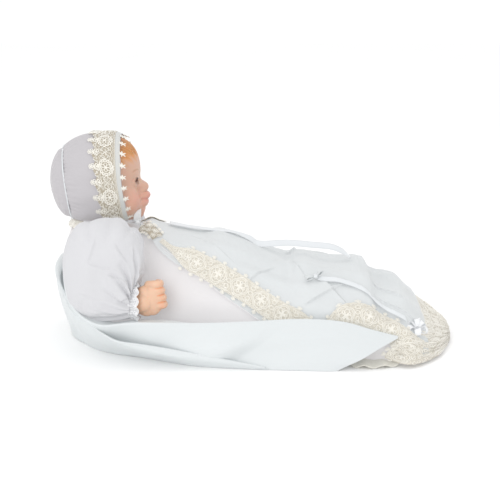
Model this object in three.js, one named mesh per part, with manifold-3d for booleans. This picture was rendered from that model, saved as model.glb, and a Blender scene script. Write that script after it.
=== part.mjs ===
// A baby doll in a christening gown, sitting back with its legs stretched out under the skirt.
// Head, shoulder plate, forearms and lower legs are hollow or solid porcelain; the rest is cloth.
// Units are millimetres. +Z is up, +X runs from the doll's back towards its feet, and +Y is its left.
// The origin lies on the floor, on the doll's middle plane, halfway between bonnet and hem.
import * as THREE from "three";
import { mergeVertices } from "three/addons/utils/BufferGeometryUtils.js";
import Module from "manifold-3d";

const wasm = await Module();
wasm.setup();

// ---------------------------------------------------------------- driving dimensions
const GAP = 0.4; // air between pieces that touch
const CLOTH = 3; // thickness of a skirt with its lining
const FLOOR_CLOTH = 3; // thickness of the cape where it lies on the floor

const NECK = new THREE.Vector3(-186, 0, 150); // centre of the neck ball
const NECK_BALL_R = 17.7;
const HEAD = new THREE.Vector3(-195, 0, 213); // centre of the skull
const HEAD_HALF = new THREE.Vector3(51, 46, 51);
const JAW = new THREE.Vector3(-172, 0, 188); // centre of cheeks and chin
const JAW_HALF = new THREE.Vector3(34, 36, 30);
const PORCELAIN = 4; // wall of a hollow casting
const EYE = new THREE.Vector3(-152, 17, 209);
const EYE_R = 9;

const BONNET = new THREE.Vector3(-197, 0, 212);
const BONNET_HALF = new THREE.Vector3(57, 52, 56.5);
const BONNET_HEM_Z = 159; // lower edge of the bonnet
const FACE_EDGE = { x: -161, z: 212, lean: 0.119 }; // front edge of the bonnet, leaning back as it rises
const CROWN_X = -232; // seam between the crown and the brim

const HIP_POINT = new THREE.Vector3(-135, 0, 10); // lowest point of the torso's middle line
const TORSO_LEAN = 20.3; // degrees that the torso leans back
const TORSO = { length: 116, halfDepth: 33, halfWidth: 46, skin: 2 };

// Each limb turns on a steel pin through two fibre discs, one against the body and one in the limb.
const SHOULDER = { at: new THREE.Vector3(-175, 0, 104), r: 14, bodyY: 39, limbY: 60, sweep: 14 };
const HIP = { at: new THREE.Vector3(-118, 0, 34), r: 12, bodyY: 32, limbY: 37.5, sweep: 24 };
const DISC_THICKNESS = 3;
const PIN_R = 2.2;
const SLEEVE = new THREE.Vector3(-174, 95, 116);
const SLEEVE_HALF = new THREE.Vector3(48, 33, 69);
const SLEEVE_WALL = 2.5;
const ARMHOLE_R = 29;
const CUFF = new THREE.Vector3(-143, 103, 76); // centre of the sleeve's opening
const CUFF_R = 15;

// The gown's cross-sections from its back to its hem: x, half width at the floor, height.
const GOWN = [
  [-233, 22, 124], [-228, 38, 139], [-205, 53, 143], [-186, 57, 143], [-150, 61, 143.5],
  [-128, 71, 146], [-108, 80, 146], [-50, 96, 137], [0, 103, 126], [60, 106, 107],
  [130, 110, 99], [170, 116, 80], [205, 119, 66], [232, 104, 38], [250, 66, 20], [262, 16, 6],
].map(([x, halfWidth, height]) => new THREE.Vector3(x, halfWidth, height));
const WAIST_STATION = 5; // where the bodice ends and the skirt begins
const ROUNDNESS = 0.8; // below 1 the sections are fuller than an ellipse
// x and the height of the front lace there, as an angle in degrees above the gown's side.
const LACE_ANGLES = [
  [-142, 79], [-115, 65], [-76, 52], [-30, 41], [33, 26], [56, 22], [90, 15], [113, 26], [143, 31], [175, 26],
  [213, 12], [262, 12],
];

// The cape's outline from the middle of the back to the middle of its front edge, on the left side.
const CAPE_FOOT = [
  [-240, 0], [-237, 22], [-227, 41], [-213, 55], [-196, 66], [-172, 79], [-130, 97], [-62, 125],
  [0, 135], [60, 141], [94, 142], [99, 141.5], [101, 140.5], [102, 138], [132, 70], [145, 0],
].map(([x, y]) => new THREE.Vector3(x, y, 0));
const CAPE_RIM = [
  [-250, 0, 105], [-248, 34, 104], [-241, 76, 96], [-230, 105, 84], [-212, 124, 67],
  [-184, 134, 55], [-140, 135, 57], [-61, 129, 54], [0, 123, 54], [61, 119, 55], [112, 121, 51],
  [170, 126, 36], [136, 133, 14], [108, 139, 3], [142, 70, 3], [155, 0, 3],
].map(([x, y, z]) => new THREE.Vector3(x, y, z));
const CAPE_WALL = 5; // thickness of the gathered sides, measured towards the middle

// ---------------------------------------------------------------- materials
const material = (color, roughness, metalness = 0) =>
  new THREE.MeshStandardMaterial({ color, roughness, metalness });
const BISQUE = material(0xe3b296, 0.45);
const MUSLIN = material(0xefe6d8, 0.9);
const FILLING = material(0xf6f4ef, 1);
const COTTON = material(0xf1f1f4, 0.85);
const LINING = material(0xefe4e3, 0.8);
const ORGANZA = material(0xf2f4f5, 0.7);
const LACE = material(0xefe9d8, 0.85);
const SATIN = material(0xfafafa, 0.35);
const GLASS_EYE = material(0x5b3a22, 0.1);
const STEEL = material(0xb8b8b8, 0.35, 1);
const FIBRE = material(0xb59a72, 0.8);

// ---------------------------------------------------------------- solids and meshes
function cleaned(geometry) {
  const g = geometry.clone();
  for (const name of Object.keys(g.attributes)) if (name !== "position") g.deleteAttribute(name);
  return mergeVertices(g, 1e-3);
}

// Six times the signed volume of a closed mesh.
function signedVolume(points, triangles) {
  let sum = 0;
  const [a, b, c] = [new THREE.Vector3(), new THREE.Vector3(), new THREE.Vector3()];
  for (let i = 0; i < triangles.length; i += 3) {
    a.fromArray(points, 3 * triangles[i]);
    b.fromArray(points, 3 * triangles[i + 1]);
    c.fromArray(points, 3 * triangles[i + 2]);
    sum += a.dot(b.cross(c));
  }
  return sum;
}

function solidOf(geometry) {
  const g = cleaned(geometry);
  const vertProperties = g.attributes.position.array;
  const triVerts = new Uint32Array(g.index.array);
  if (signedVolume(vertProperties, triVerts) < 0)
    for (let i = 0; i < triVerts.length; i += 3)
      [triVerts[i + 1], triVerts[i + 2]] = [triVerts[i + 2], triVerts[i + 1]];
  return new wasm.Manifold(new wasm.Mesh({ numProp: 3, vertProperties, triVerts }));
}

function geometryOf(solid) {
  const mesh = solid.getMesh();
  const g = new THREE.BufferGeometry();
  g.setAttribute("position", new THREE.BufferAttribute(mesh.vertProperties, 3));
  g.setIndex(new THREE.BufferAttribute(mesh.triVerts, 1));
  g.computeVertexNormals();
  return g;
}

// Moves every vertex of a three.js geometry to where place() puts it.
function shaped(geometry, place) {
  const g = cleaned(geometry);
  const p = g.attributes.position;
  const v = new THREE.Vector3();
  for (let i = 0; i < p.count; i++) {
    const to = place(v.fromBufferAttribute(p, i).clone());
    p.setXYZ(i, to.x, to.y, to.z);
  }
  return g;
}

const joined = (...solids) => solids.reduce((sum, s) => sum.add(s));

function ellipsoid(centre, half, grow = 0, around = 18, rings = 12) {
  const g = new THREE.SphereGeometry(1, around, rings);
  g.rotateX(Math.PI / 2);
  g.scale(half.x + grow, half.y + grow, half.z + grow);
  g.translate(centre.x, centre.y, centre.z);
  return solidOf(g);
}

const ball = (centre, r, around = 14) =>
  ellipsoid(centre, new THREE.Vector3(r, r, r), 0, around, Math.round(around * 0.7));

function box(low, high) {
  const size = high.clone().sub(low);
  const g = new THREE.BoxGeometry(size.x, size.y, size.z);
  g.translate(...low.clone().add(high).multiplyScalar(0.5).toArray());
  return solidOf(g);
}

// A cylinder or cone frustum between two points.
function rod(from, to, r, endR = r, sides = 16) {
  const axis = to.clone().sub(from);
  const g = new THREE.CylinderGeometry(endR, r, axis.length(), sides);
  g.applyQuaternion(new THREE.Quaternion().setFromUnitVectors(new THREE.Vector3(0, 1, 0), axis.normalize()));
  g.translate(...from.clone().add(to).multiplyScalar(0.5).toArray());
  return solidOf(g);
}

// A limb: round sections along a smooth curve, with radii spread evenly along it and rounded ends.
function limb(points, radii, sides = 12, steps = 8) {
  const curve = new THREE.CatmullRomCurve3(points);
  const radius = new THREE.SplineCurve(radii.map((r, i) => new THREE.Vector2(i, r)));
  const up = new THREE.Vector3(0, 1, 0);
  const g = new THREE.SphereGeometry(1, sides, steps + 2);
  return solidOf(
    shaped(g, (v) => {
      const t = THREE.MathUtils.clamp((v.y + 0.8) / 1.6, 0, 1);
      const tangent = curve.getTangent(t);
      const side = new THREE.Vector3().crossVectors(up, tangent).normalize();
      const out = new THREE.Vector3().crossVectors(tangent, side);
      const r = radius.getPoint(t).y;
      const flat = Math.hypot(v.x, v.z);
      const spread = flat < 1e-6 ? 0 : (r * Math.min(1, flat / 0.6)) / flat;
      const beyond = (Math.max(0, Math.abs(v.y) - 0.8) / 0.2) * 0.55 * r * Math.sign(v.y);
      return curve
        .getPoint(t)
        .addScaledVector(side, v.x * spread)
        .addScaledVector(out, v.z * spread)
        .addScaledVector(tangent, beyond);
    }),
  );
}

// A thin sheet with thickness: surface(u, v, w) places a point, with u and v across it and w through it.
function sheet(surface, alongSteps, acrossSteps) {
  const g = new THREE.BoxGeometry(1, 1, 1, alongSteps, acrossSteps, 1);
  return solidOf(shaped(g, (p) => surface(p.x + 0.5, p.y + 0.5, p.z + 0.5)));
}

// A closed surface through rings: each ring gives its point for a turn from -1 to 1 about the middle.
function turned(rings, around) {
  const last = rings.length - 1;
  const profile = rings.map((_, i) => new THREE.Vector2(i === 0 || i === last ? 0 : 1, i));
  const lathe = new THREE.LatheGeometry(profile, around);
  return solidOf(shaped(lathe, (v) => rings[Math.round(v.y)](Math.atan2(v.x, v.z) / Math.PI)));
}

const mix = THREE.MathUtils.lerp;
const degrees = THREE.MathUtils.degToRad;

const part = new THREE.Group();
function piece(name, solid, surface, parent = part) {
  const mesh = new THREE.Mesh(geometryOf(solid), surface);
  mesh.name = name;
  parent.add(mesh);
  return mesh;
}

// ---------------------------------------------------------------- the gown's surface
const gownSpine = new THREE.CatmullRomCurve3(GOWN);
const stationShare = (station) => station / (GOWN.length - 1);

// Lowest edge of the gown: on the cape, and on the floor beyond the cape's front edge.
const gownBase = (x) => mix(FLOOR_CLOTH + 0.6, 0, THREE.MathUtils.smoothstep(x, 168, 182));

// A point of the gown: t runs from back to hem, phi from the left edge over the top to the right edge.
function gownPoint(t, phi, offset) {
  const s = gownSpine.getPoint(t);
  const base = gownBase(s.x);
  const [c, h] = [Math.cos(phi), Math.max(0, Math.sin(phi))];
  const across = (s.y + offset) * Math.sign(c) * Math.abs(c) ** ROUNDNESS;
  return new THREE.Vector3(s.x, across, base + (s.z + offset - base) * h ** ROUNDNESS);
}

// Angle of the front lace above the gown's left edge: high at the neck, low along the skirt.
function laceAngle(t) {
  const x = gownSpine.getPoint(t).x;
  const next = Math.max(1, LACE_ANGLES.findIndex(([at]) => at >= x));
  const [[x0, angle0], [x1, angle1]] = LACE_ANGLES.slice(next - 1, next + 1);
  return degrees(mix(angle0, angle1, (x - x0) / (x1 - x0)));
}

function gownSheet([t0, t1], angles, [inside, outside], alongSteps, acrossSteps) {
  return sheet(
    (u, v, w) => {
      const t = mix(t0, t1, u);
      const [low, high] = angles(t);
      return gownPoint(t, mix(low, high, v), mix(inside, outside, w));
    },
    alongSteps,
    acrossSteps,
  );
}

// ---------------------------------------------------------------- head
function headOuter() {
  return joined(
    ellipsoid(HEAD, HEAD_HALF, 0, 18, 12),
    ellipsoid(JAW, JAW_HALF, 0, 14, 9),
    ellipsoid(new THREE.Vector3(-136, 0, 197), new THREE.Vector3(6, 6, 6), 0, 8, 6),
  );
}

function makeHead() {
  const neckTop = NECK.clone().setZ(176);
  const hollow = joined(
    ellipsoid(HEAD, HEAD_HALF, -PORCELAIN, 14, 8),
    ellipsoid(JAW, JAW_HALF, -PORCELAIN, 12, 8),
  );
  let head = joined(headOuter(), ball(NECK, NECK_BALL_R, 16), rod(NECK, neckTop, 14)).subtract(hollow);
  head = head.subtract(rod(NECK.clone().setZ(125), neckTop, 8.5));
  const eyes = { eye_left: EYE, eye_right: EYE.clone().setY(-EYE.y) };
  for (const centre of Object.values(eyes)) head = head.subtract(ball(centre, EYE_R + 0.6, 12));
  piece("head", head, BISQUE);
  for (const [name, centre] of Object.entries(eyes)) piece(name, ball(centre, EYE_R, 12), GLASS_EYE);
}

// ---------------------------------------------------------------- bonnet
// Everything behind the bonnet's leaning front edge, pushed back by setBack.
function behindFace(setBack) {
  const g = new THREE.BoxGeometry(400, 300, 400);
  g.translate(-200, 0, 0);
  g.rotateY(-Math.atan(FACE_EDGE.lean));
  g.translate(FACE_EDGE.x - setBack, 0, FACE_EDGE.z);
  return solidOf(g);
}

const boxBetween = (x0, x1, z0, z1) =>
  box(new THREE.Vector3(x0, -100, z0), new THREE.Vector3(x1, 100, z1));

// The bonnet's surface: an ellipsoid that stays wide towards the face and full down to the hem.
function bonnetSolid(grow) {
  const unit = new THREE.SphereGeometry(1, 20, 12);
  unit.rotateX(Math.PI / 2);
  return solidOf(
    shaped(unit, (v) => {
      const flat = Math.hypot(v.x, v.y);
      const full = v.z < 0 && flat > 0.01 ? Math.sqrt(flat) / flat : 1;
      const front = THREE.MathUtils.clamp(v.x, 0, 0.8);
      const wide = (1 - front * front) ** -0.3;
      const deep = v.x > 0 && v.z < 0 ? 1 - 0.25 * v.z : 1;
      const half = BONNET_HALF.clone().addScalar(grow);
      return v.multiply(new THREE.Vector3(full * deep, full * wide, 1)).multiply(half).add(BONNET);
    }),
  );
}

function makeBonnet() {
  const above = boxBetween(-300, -100, BONNET_HEM_Z, 300);
  const underside = new THREE.Vector3(-194, 0, 140);
  const throat = rod(underside, underside.clone().setZ(172), 27).add(
    box(new THREE.Vector3(-194, -24, 140), new THREE.Vector3(-140, 24, 170)),
  );
  const shell = bonnetSolid(0).subtract(bonnetSolid(-2.2)).subtract(throat).intersect(above);
  piece("bonnet_crown", shell.intersect(boxBetween(-300, CROWN_X, 0, 300)), COTTON);
  const brim = shell.intersect(boxBetween(CROWN_X + GAP, -100, 0, 300)).intersect(behindFace(0));
  piece("bonnet_brim", brim, COTTON);
  const overBrim = bonnetSolid(1.6).subtract(bonnetSolid(GAP)).subtract(throat).intersect(above);
  piece("bonnet_lace", overBrim.intersect(behindFace(8)).subtract(behindFace(34)), LACE);
  piece("bonnet_band", overBrim.intersect(behindFace(1)).subtract(behindFace(7.6)), SATIN);

  const frill = new THREE.CylinderGeometry(1, 1, 1, 20, 1);
  const frillAt = (grow) =>
    solidOf(
      shaped(frill, (v) => {
        const low = v.y < 0;
        const r = (low ? 34 : 30) + grow;
        return new THREE.Vector3(-196 + v.x * r, v.z * r * 0.9, low ? 157 : BONNET_HEM_Z - GAP);
      }),
    );
  const back = boxBetween(-300, -200, 150, 170);
  piece("bonnet_ruffle", frillAt(0).subtract(frillAt(-3)).intersect(back), LACE);

  const bow = joined(
    ellipsoid(new THREE.Vector3(-141, -8, 160), new THREE.Vector3(4, 8, 4.5), 0, 10, 6),
    ellipsoid(new THREE.Vector3(-141, 8, 160), new THREE.Vector3(4, 8, 4.5), 0, 10, 6),
    ball(new THREE.Vector3(-141, 0, 160), 3.6, 8),
  );
  piece("chin_bow", bow, SATIN);
  const ties = { bonnet_tie_left: 1, bonnet_tie_right: -1 };
  for (const [name, side] of Object.entries(ties)) {
    const from = new THREE.Vector3(-162, 26 * side, 157.4);
    const to = new THREE.Vector3(-149.5, 13 * side, 157.4);
    const strip = sheet(
      (u, v, w) => from.clone().lerp(to, u).add(new THREE.Vector3((v - 0.5) * 8, 0, (w - 0.5) * 1.2)),
      4,
      1,
    );
    piece(name, strip, SATIN);
  }
}

// ---------------------------------------------------------------- neck and shoulder plate
// Upright rings of the shoulder plate: z, middle x, half depth, half width.
const PLATE = [
  [112, -172, 28, 38], [118, -175, 26, 34], [124, -179, 23, 27], [130, -183, 21, 22],
  [137, -185, 20.5, 20.5], [145, -186, 21, 21],
];

function plateLoft(shrink, topZ) {
  const g = new THREE.CylinderGeometry(1, 1, 1, 20, PLATE.length - 1);
  return solidOf(
    shaped(g, (v) => {
      const [z, x, depth, width] = PLATE[Math.round((v.y + 0.5) * (PLATE.length - 1))];
      const r = Math.hypot(v.x, v.z) < 1e-6 ? 0 : 1;
      const low = z === PLATE[0][0] ? Math.max(0, shrink) : 0;
      return new THREE.Vector3(x + v.x * r * (depth - shrink), v.z * r * (width - shrink), Math.min(z - low, topZ));
    }),
  );
}

function makeNeck() {
  const hollow = plateLoft(PORCELAIN, 1000).intersect(boxBetween(-300, 0, 100, 127));
  const rodHole = rod(NECK.clone().setZ(120), NECK.clone().setZ(140), 4);
  const plate = plateLoft(0, 1000).subtract(hollow).subtract(ball(NECK, NECK_BALL_R + 0.9, 16)).subtract(rodHole);
  piece("shoulder_plate", plate, BISQUE);

  // The rod hangs the head: a domed washer inside the head, a nut and a spring under the plate.
  const stem = rod(NECK.clone().setZ(108), NECK.clone().setZ(171), 1.6, 1.6, 12);
  const washer = rod(NECK.clone().setZ(170), NECK.clone().setZ(172), 10, 9, 20);
  piece("neck_rod", joined(stem, washer), STEEL);
  const nut = rod(NECK.clone().setZ(108.6), NECK.clone().setZ(111.4), 5, 5, 6);
  const nutHole = rod(NECK.clone().setZ(100), NECK.clone().setZ(115), 1.6 + GAP, 1.6 + GAP, 12);
  piece("neck_nut", nut.subtract(nutHole), STEEL);

  const turns = 3;
  const helix = new THREE.CatmullRomCurve3(
    Array.from({ length: turns * 8 + 1 }, (_, i) => {
      const a = (i / 8) * 2 * Math.PI;
      return new THREE.Vector3(NECK.x + 4 * Math.cos(a), 4 * Math.sin(a), mix(113, 125, i / (turns * 8)));
    }),
  );
  const wire = new THREE.Shape().absarc(0, 0, 0.7, 0, 2 * Math.PI);
  const coil = new THREE.ExtrudeGeometry(wire, { steps: turns * 9, curveSegments: 3, extrudePath: helix });
  piece("neck_spring", solidOf(coil), STEEL);
}

// ---------------------------------------------------------------- torso
// A point of the torso in its own leaning frame, as a place in the part.
function leaning(x, y, z) {
  return new THREE.Vector3(x, y, z)
    .applyAxisAngle(new THREE.Vector3(0, 1, 0), -degrees(TORSO_LEAN))
    .add(HIP_POINT);
}

function torsoLoft(shrink) {
  const { length, halfDepth, halfWidth } = TORSO;
  const g = new THREE.SphereGeometry(1, 20, 10);
  return solidOf(
    shaped(g, (v) => {
      const flat = Math.min(1, Math.hypot(v.x, v.z) * 1.35);
      const turn = Math.atan2(v.z, v.x);
      const taper = 1 - 0.05 * (v.y + 1);
      const x = Math.cos(turn) * flat * (halfDepth * taper - shrink);
      const y = Math.sin(turn) * flat * (halfWidth * taper - shrink);
      return leaning(x, y, (v.y * 0.5 + 0.5) * (length - 2 * shrink) + shrink);
    }),
  );
}

// The hollows in the torso's sides where the limbs turn, and the shoulder plate's seat.
function torsoRecesses(grow) {
  const cuts = [SHOULDER, HIP].flatMap((joint) =>
    [1, -1].map((side) => {
      const at = (y) => joint.at.clone().setY(side * y);
      const hollow = rod(at(joint.bodyY - GAP - grow), at(80), joint.sweep + 1 + grow, joint.sweep + 1 + grow, 12);
      return hollow.add(rod(at(joint.bodyY - 4 - grow), at(60), 5.6 + grow, 5.6 + grow, 8));
    }),
  );
  const nutRoom = ball(NECK.clone().setZ(111), 9 + grow, 10);
  return joined(...cuts, plateLoft(-1 - grow, 1000), nutRoom);
}

function makeTorso() {
  const floorZ = FLOOR_CLOTH + 0.6;
  const above = (z) => boxBetween(-300, 0, z, 300);
  const { skin } = TORSO;
  const outer = torsoLoft(0).intersect(above(floorZ)).subtract(torsoRecesses(0));
  const inner = torsoLoft(skin).intersect(above(floorZ + skin)).subtract(torsoRecesses(skin));
  const mouth = rod(new THREE.Vector3(-170, 0, 95), new THREE.Vector3(-165, 0, 130), 7);
  piece("torso_cover", outer.subtract(inner).subtract(mouth), MUSLIN);
  const core = torsoLoft(skin + GAP).intersect(above(floorZ + skin + GAP));
  piece("torso_filling", core.subtract(torsoRecesses(skin + GAP)), FILLING);
}

// ---------------------------------------------------------------- arms
const UPPER_ARM = [[-172, 64, 103], [-175, 80, 96], [-182, 95, 80], [-178, 101, 70]];
const FOREARM = [[-180, 100, 71], [-166, 102, 71], [-152, 103, 73.5], [-138, 103, 76]];
const vectors = (list) => list.map(([x, y, z]) => new THREE.Vector3(x, y, z));

// Two discs and the pin that holds them together, for one limb.
function discJoint(name, joint, parent) {
  const at = (y) => joint.at.clone().setY(y);
  const disc = (y) =>
    rod(at(y), at(y + DISC_THICKNESS), joint.r).subtract(rod(at(y - 5), at(y + 8), PIN_R + GAP, PIN_R + GAP, 10));
  piece(`${name}_disc_body`, disc(joint.bodyY), FIBRE, parent);
  piece(`${name}_disc_limb`, disc(joint.limbY), FIBRE, parent);
  const end = joint.limbY + DISC_THICKNESS;
  const pin = joined(
    rod(at(joint.bodyY - 3), at(joint.bodyY - 0.8), 4.5, 4.5, 10),
    rod(at(joint.bodyY - 1), at(end + 1), PIN_R, PIN_R, 10),
    rod(at(end + 0.6), at(end + 2.6), 4.5, 4.5, 10),
  );
  piece(`${name}_pin`, pin, STEEL, parent);
}

// Room in a limb for its disc and for the end of the pin, open towards the body.
function discRoom(joint) {
  const at = (y) => joint.at.clone().setY(y);
  const end = joint.limbY + DISC_THICKNESS;
  return rod(at(0), at(end + GAP), joint.r + GAP).add(rod(at(joint.limbY), at(end + 3.2), 5, 5, 10));
}

function handSolid() {
  const palm = ellipsoid(new THREE.Vector3(-122, 104, 79), new THREE.Vector3(18, 9, 19), 0, 12, 8);
  const fingers = [0, 1, 2, 3].map((i) => {
    const z = 95 - i * 8.8;
    return limb(vectors([[-119, 104, z - 1], [-108, 107, z], [-101, 103, z], [-104, 97, z]]), [4.6, 4.9, 4.3, 4], 6, 4);
  });
  const thumb = limb(vectors([[-130, 98, 88], [-120, 93, 94], [-111, 92, 93]]), [5, 4.8, 4.2], 6, 3);
  return joined(palm, ...fingers, thumb);
}

// The sleeve's skin, grown by an amount: a puff drawn in to the cuff.
function sleeveRings(grow) {
  const pole = CUFF.clone().sub(SLEEVE).divide(SLEEVE_HALF).normalize();
  const p = new THREE.Vector3(0, 1, 0).cross(pole).normalize();
  const q = new THREE.Vector3().crossVectors(pole, p);
  const half = SLEEVE_HALF.clone().addScalar(grow);
  const spot = (angle, turn) => {
    const around = p.clone().multiplyScalar(Math.cos(turn)).addScaledVector(q, Math.sin(turn));
    const out = pole.clone().multiplyScalar(Math.cos(angle)).addScaledVector(around, Math.sin(angle));
    return SLEEVE.clone().add(out.multiply(half));
  };
  const puff = [180, 158, 136, 114, 92, 72, 54, 40].map((a) => (t) => spot(degrees(a), t * Math.PI));
  const mouth = (x, r) => (t) => {
    const away = spot(degrees(40), t * Math.PI).sub(CUFF).setX(0).normalize();
    return CUFF.clone().setX(x).addScaledVector(away, r + grow);
  };
  return [...puff, mouth(-155, CUFF_R + 3.5), mouth(-149, CUFF_R + 1.4)];
}

function makeArm(side, suffix) {
  const arm = new THREE.Group();
  arm.scale.y = side;
  part.add(arm);
  discJoint(`shoulder_${suffix}`, SHOULDER, arm);

  piece(`forearm_${suffix}`, limb(vectors(FOREARM), [8.5, 10, 10.6, 10]).add(handSolid()), BISQUE, arm);
  const grooved = limb(vectors(FOREARM), [9.3, 10.8, 11.4, 10.8]);
  const upper = limb(vectors(UPPER_ARM), [19, 17, 15, 15]).subtract(discRoom(SHOULDER)).subtract(grooved);
  piece(`upper_arm_${suffix}`, upper, MUSLIN, arm);
  const ring = rod(new THREE.Vector3(-162, 102.2, 71.6), new THREE.Vector3(-159, 102.4, 72.2), 12.8);
  piece(`arm_binding_${suffix}`, ring.subtract(grooved), LACE, arm);

  const at = (y) => SHOULDER.at.clone().setY(y);
  const skin = turned([...sleeveRings(0), ...sleeveRings(-SLEEVE_WALL).reverse()], 16);
  piece(`sleeve_${suffix}`, skin.subtract(rod(at(30), at(80), ARMHOLE_R)), COTTON, arm);

  const outline = [[14.2, -5.4], [15.6, 0], [19, 7], [20.4, 6.2], [17.2, -0.6], [15.6, -6]];
  const lathe = outline.concat([outline[0]]).map(([r, h]) => new THREE.Vector2(r, h));
  const cuff = new THREE.LatheGeometry(lathe, 20).rotateZ(-Math.PI / 2);
  piece(`cuff_lace_${suffix}`, solidOf(cuff.translate(CUFF.x, CUFF.y, CUFF.z)), LACE, arm);
}

// ---------------------------------------------------------------- legs
const THIGH = [[-118, 51, 34], [-95, 52, 49], [-68, 51, 66], [-40, 48, 77]];
const SHIN = [[-44, 48, 77], [-18, 47, 70], [6, 47, 52], [26, 46, 38]];

function makeLeg(side, suffix) {
  const leg = new THREE.Group();
  leg.scale.y = side;
  part.add(leg);
  discJoint(`hip_${suffix}`, HIP, leg);
  const foot = ellipsoid(new THREE.Vector3(36, 46, 44), new THREE.Vector3(11, 12, 19), 0, 12, 8);
  piece(`lower_leg_${suffix}`, limb(vectors(SHIN), [12, 15, 14, 10.5]).add(foot), BISQUE, leg);
  const grooved = limb(vectors(SHIN), [12.8, 15.9, 14.9, 11.4]);
  const thigh = limb(vectors(THIGH), [13.4, 16, 18, 18]).subtract(grooved).subtract(discRoom(HIP));
  piece(`thigh_${suffix}`, thigh, MUSLIN, leg);
  const ring = rod(new THREE.Vector3(-20, 47, 71), new THREE.Vector3(-16.8, 47, 69.4), 17.8);
  piece(`leg_binding_${suffix}`, ring.subtract(grooved), LACE, leg);
}

// ---------------------------------------------------------------- gown
function makeGown() {
  const waist = stationShare(WAIST_STATION);
  const neckHole = rod(new THREE.Vector3(NECK.x, 0, 110), new THREE.Vector3(NECK.x, 0, 170), 24);
  const armholes = rod(SHOULDER.at.clone().setY(-90), SHOULDER.at.clone().setY(90), 21.5);
  const bodice = gownSheet([0, waist], () => [degrees(8), degrees(172)], [-2.5, 0], 8, 10)
    .subtract(neckHole)
    .subtract(armholes);
  piece("gown_bodice", bodice, COTTON);

  const skirtStart = waist + 0.0015;
  const skirt = gownSheet([skirtStart, 1], () => [0, Math.PI], [-CLOTH, 0], 20, 22);
  piece("gown_underskirt", skirt, LINING);

  const panelAngles = (t) => [laceAngle(t), Math.PI - laceAngle(t)];
  const panel = gownSheet([stationShare(4.5), stationShare(12.5)], panelAngles, [1.7, 2.7], 16, 20);
  piece("gown_front_panel", panel, ORGANZA);

  const halfBand = degrees(6.5);
  for (const [name, left] of [["front_lace_left", true], ["front_lace_right", false]]) {
    const band = (t) => {
      const a = left ? laceAngle(t) : Math.PI - laceAngle(t);
      return [a - halfBand, a + halfBand];
    };
    piece(name, gownSheet([stationShare(4.5), stationShare(12)], band, [4.4, 5.6], 15, 2), LACE);
  }
  const hem = gownSheet([stationShare(12.55), stationShare(14.8)], () => [degrees(5), degrees(175)], [1.6, 2.8], 6, 12);
  piece("hem_lace", hem, LACE);

  const collar = [[25, 145.4], [38, 144.7], [38, 146], [25, 146.8]];
  const ring = new THREE.LatheGeometry(collar.concat([collar[0]]).map(([r, z]) => new THREE.Vector2(r, z)), 20);
  ring.rotateX(Math.PI / 2);
  ring.translate(NECK.x, 0, 0);
  piece("collar_ruffle", solidOf(ring), LACE);
}

// Satin ribbons over the skirt, one arching clear of it, and the bow and rosette at their ends.
function makeRibbons() {
  const ribbon = ([t0, t1], [a0, a1], lift) =>
    sheet(
      (u, v, w) => {
        const arch = 1 - Math.abs(2 * u - 1) ** 2.5;
        const angle = degrees(mix(a0, a1, u) + (v - 0.5) * 5);
        return gownPoint(mix(t0, t1, u), angle, 4.2 + lift * arch + w);
      },
      12,
      1,
    );
  const long = ribbon([stationShare(5.6), stationShare(10.1)], [88, 84], 5);
  piece("ribbon_streamer_long", long, SATIN);
  const short = ribbon([stationShare(9.75), stationShare(11.95)], [126, 138], 2);
  piece("ribbon_streamer_short", short, SATIN);

  const bowAt = (t, phi, size) => {
    const loop = new THREE.Vector3(8, 5, 4).multiplyScalar(size);
    const at = (shift) => gownPoint(t + shift, phi, 7.4 + 4 * size);
    const step = 0.009 * size;
    return joined(ellipsoid(at(step), loop, 0, 10, 7), ellipsoid(at(-step), loop, 0, 10, 7), ball(at(0), 4 * size, 10));
  };
  piece("skirt_bow", bowAt(stationShare(9.4), degrees(120), 0.8), SATIN);
  piece("hem_rosette", bowAt(stationShare(12.35), degrees(141), 1), SATIN);
}

// ---------------------------------------------------------------- cape
// A wide cape spread under the doll, with its sides drawn up into a rim all round the back.
function makeCape() {
  const foot = new THREE.CatmullRomCurve3(CAPE_FOOT);
  const rim = new THREE.CatmullRomCurve3(CAPE_RIM);
  const middle = new THREE.Vector3(-40, 0, 0);
  const inward = (p) => p.clone().addScaledVector(p.clone().sub(middle).setZ(0).normalize(), -CAPE_WALL);
  const onSide = (place) => (turn) => {
    const p = place(Math.abs(turn));
    return p.setY(p.y * Math.sign(turn));
  };
  const rings = [
    () => middle.clone(),
    onSide((t) => foot.getPoint(t)),
    onSide((t) => rim.getPoint(t)),
    onSide((t) => inward(rim.getPoint(t))),
    onSide((t) => inward(foot.getPoint(t)).setZ(FLOOR_CLOTH)),
    () => middle.clone().setZ(FLOOR_CLOTH),
  ];
  piece("cape", turned(rings, 60), COTTON);
}

makeHead();
makeBonnet();
makeNeck();
makeTorso();
makeArm(1, "left");
makeArm(-1, "right");
makeLeg(1, "left");
makeLeg(-1, "right");
makeGown();
makeRibbons();
makeCape();

export default part;
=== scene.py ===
"""A porcelain baby doll in a christening gown: the visible pieces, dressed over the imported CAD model.

Lengths in this file are millimetres, in the CAD's frame, and are turned into metres when a mesh is made.
+X runs from the doll's back to its feet, +Y to its left, +Z up."""

import math

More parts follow.
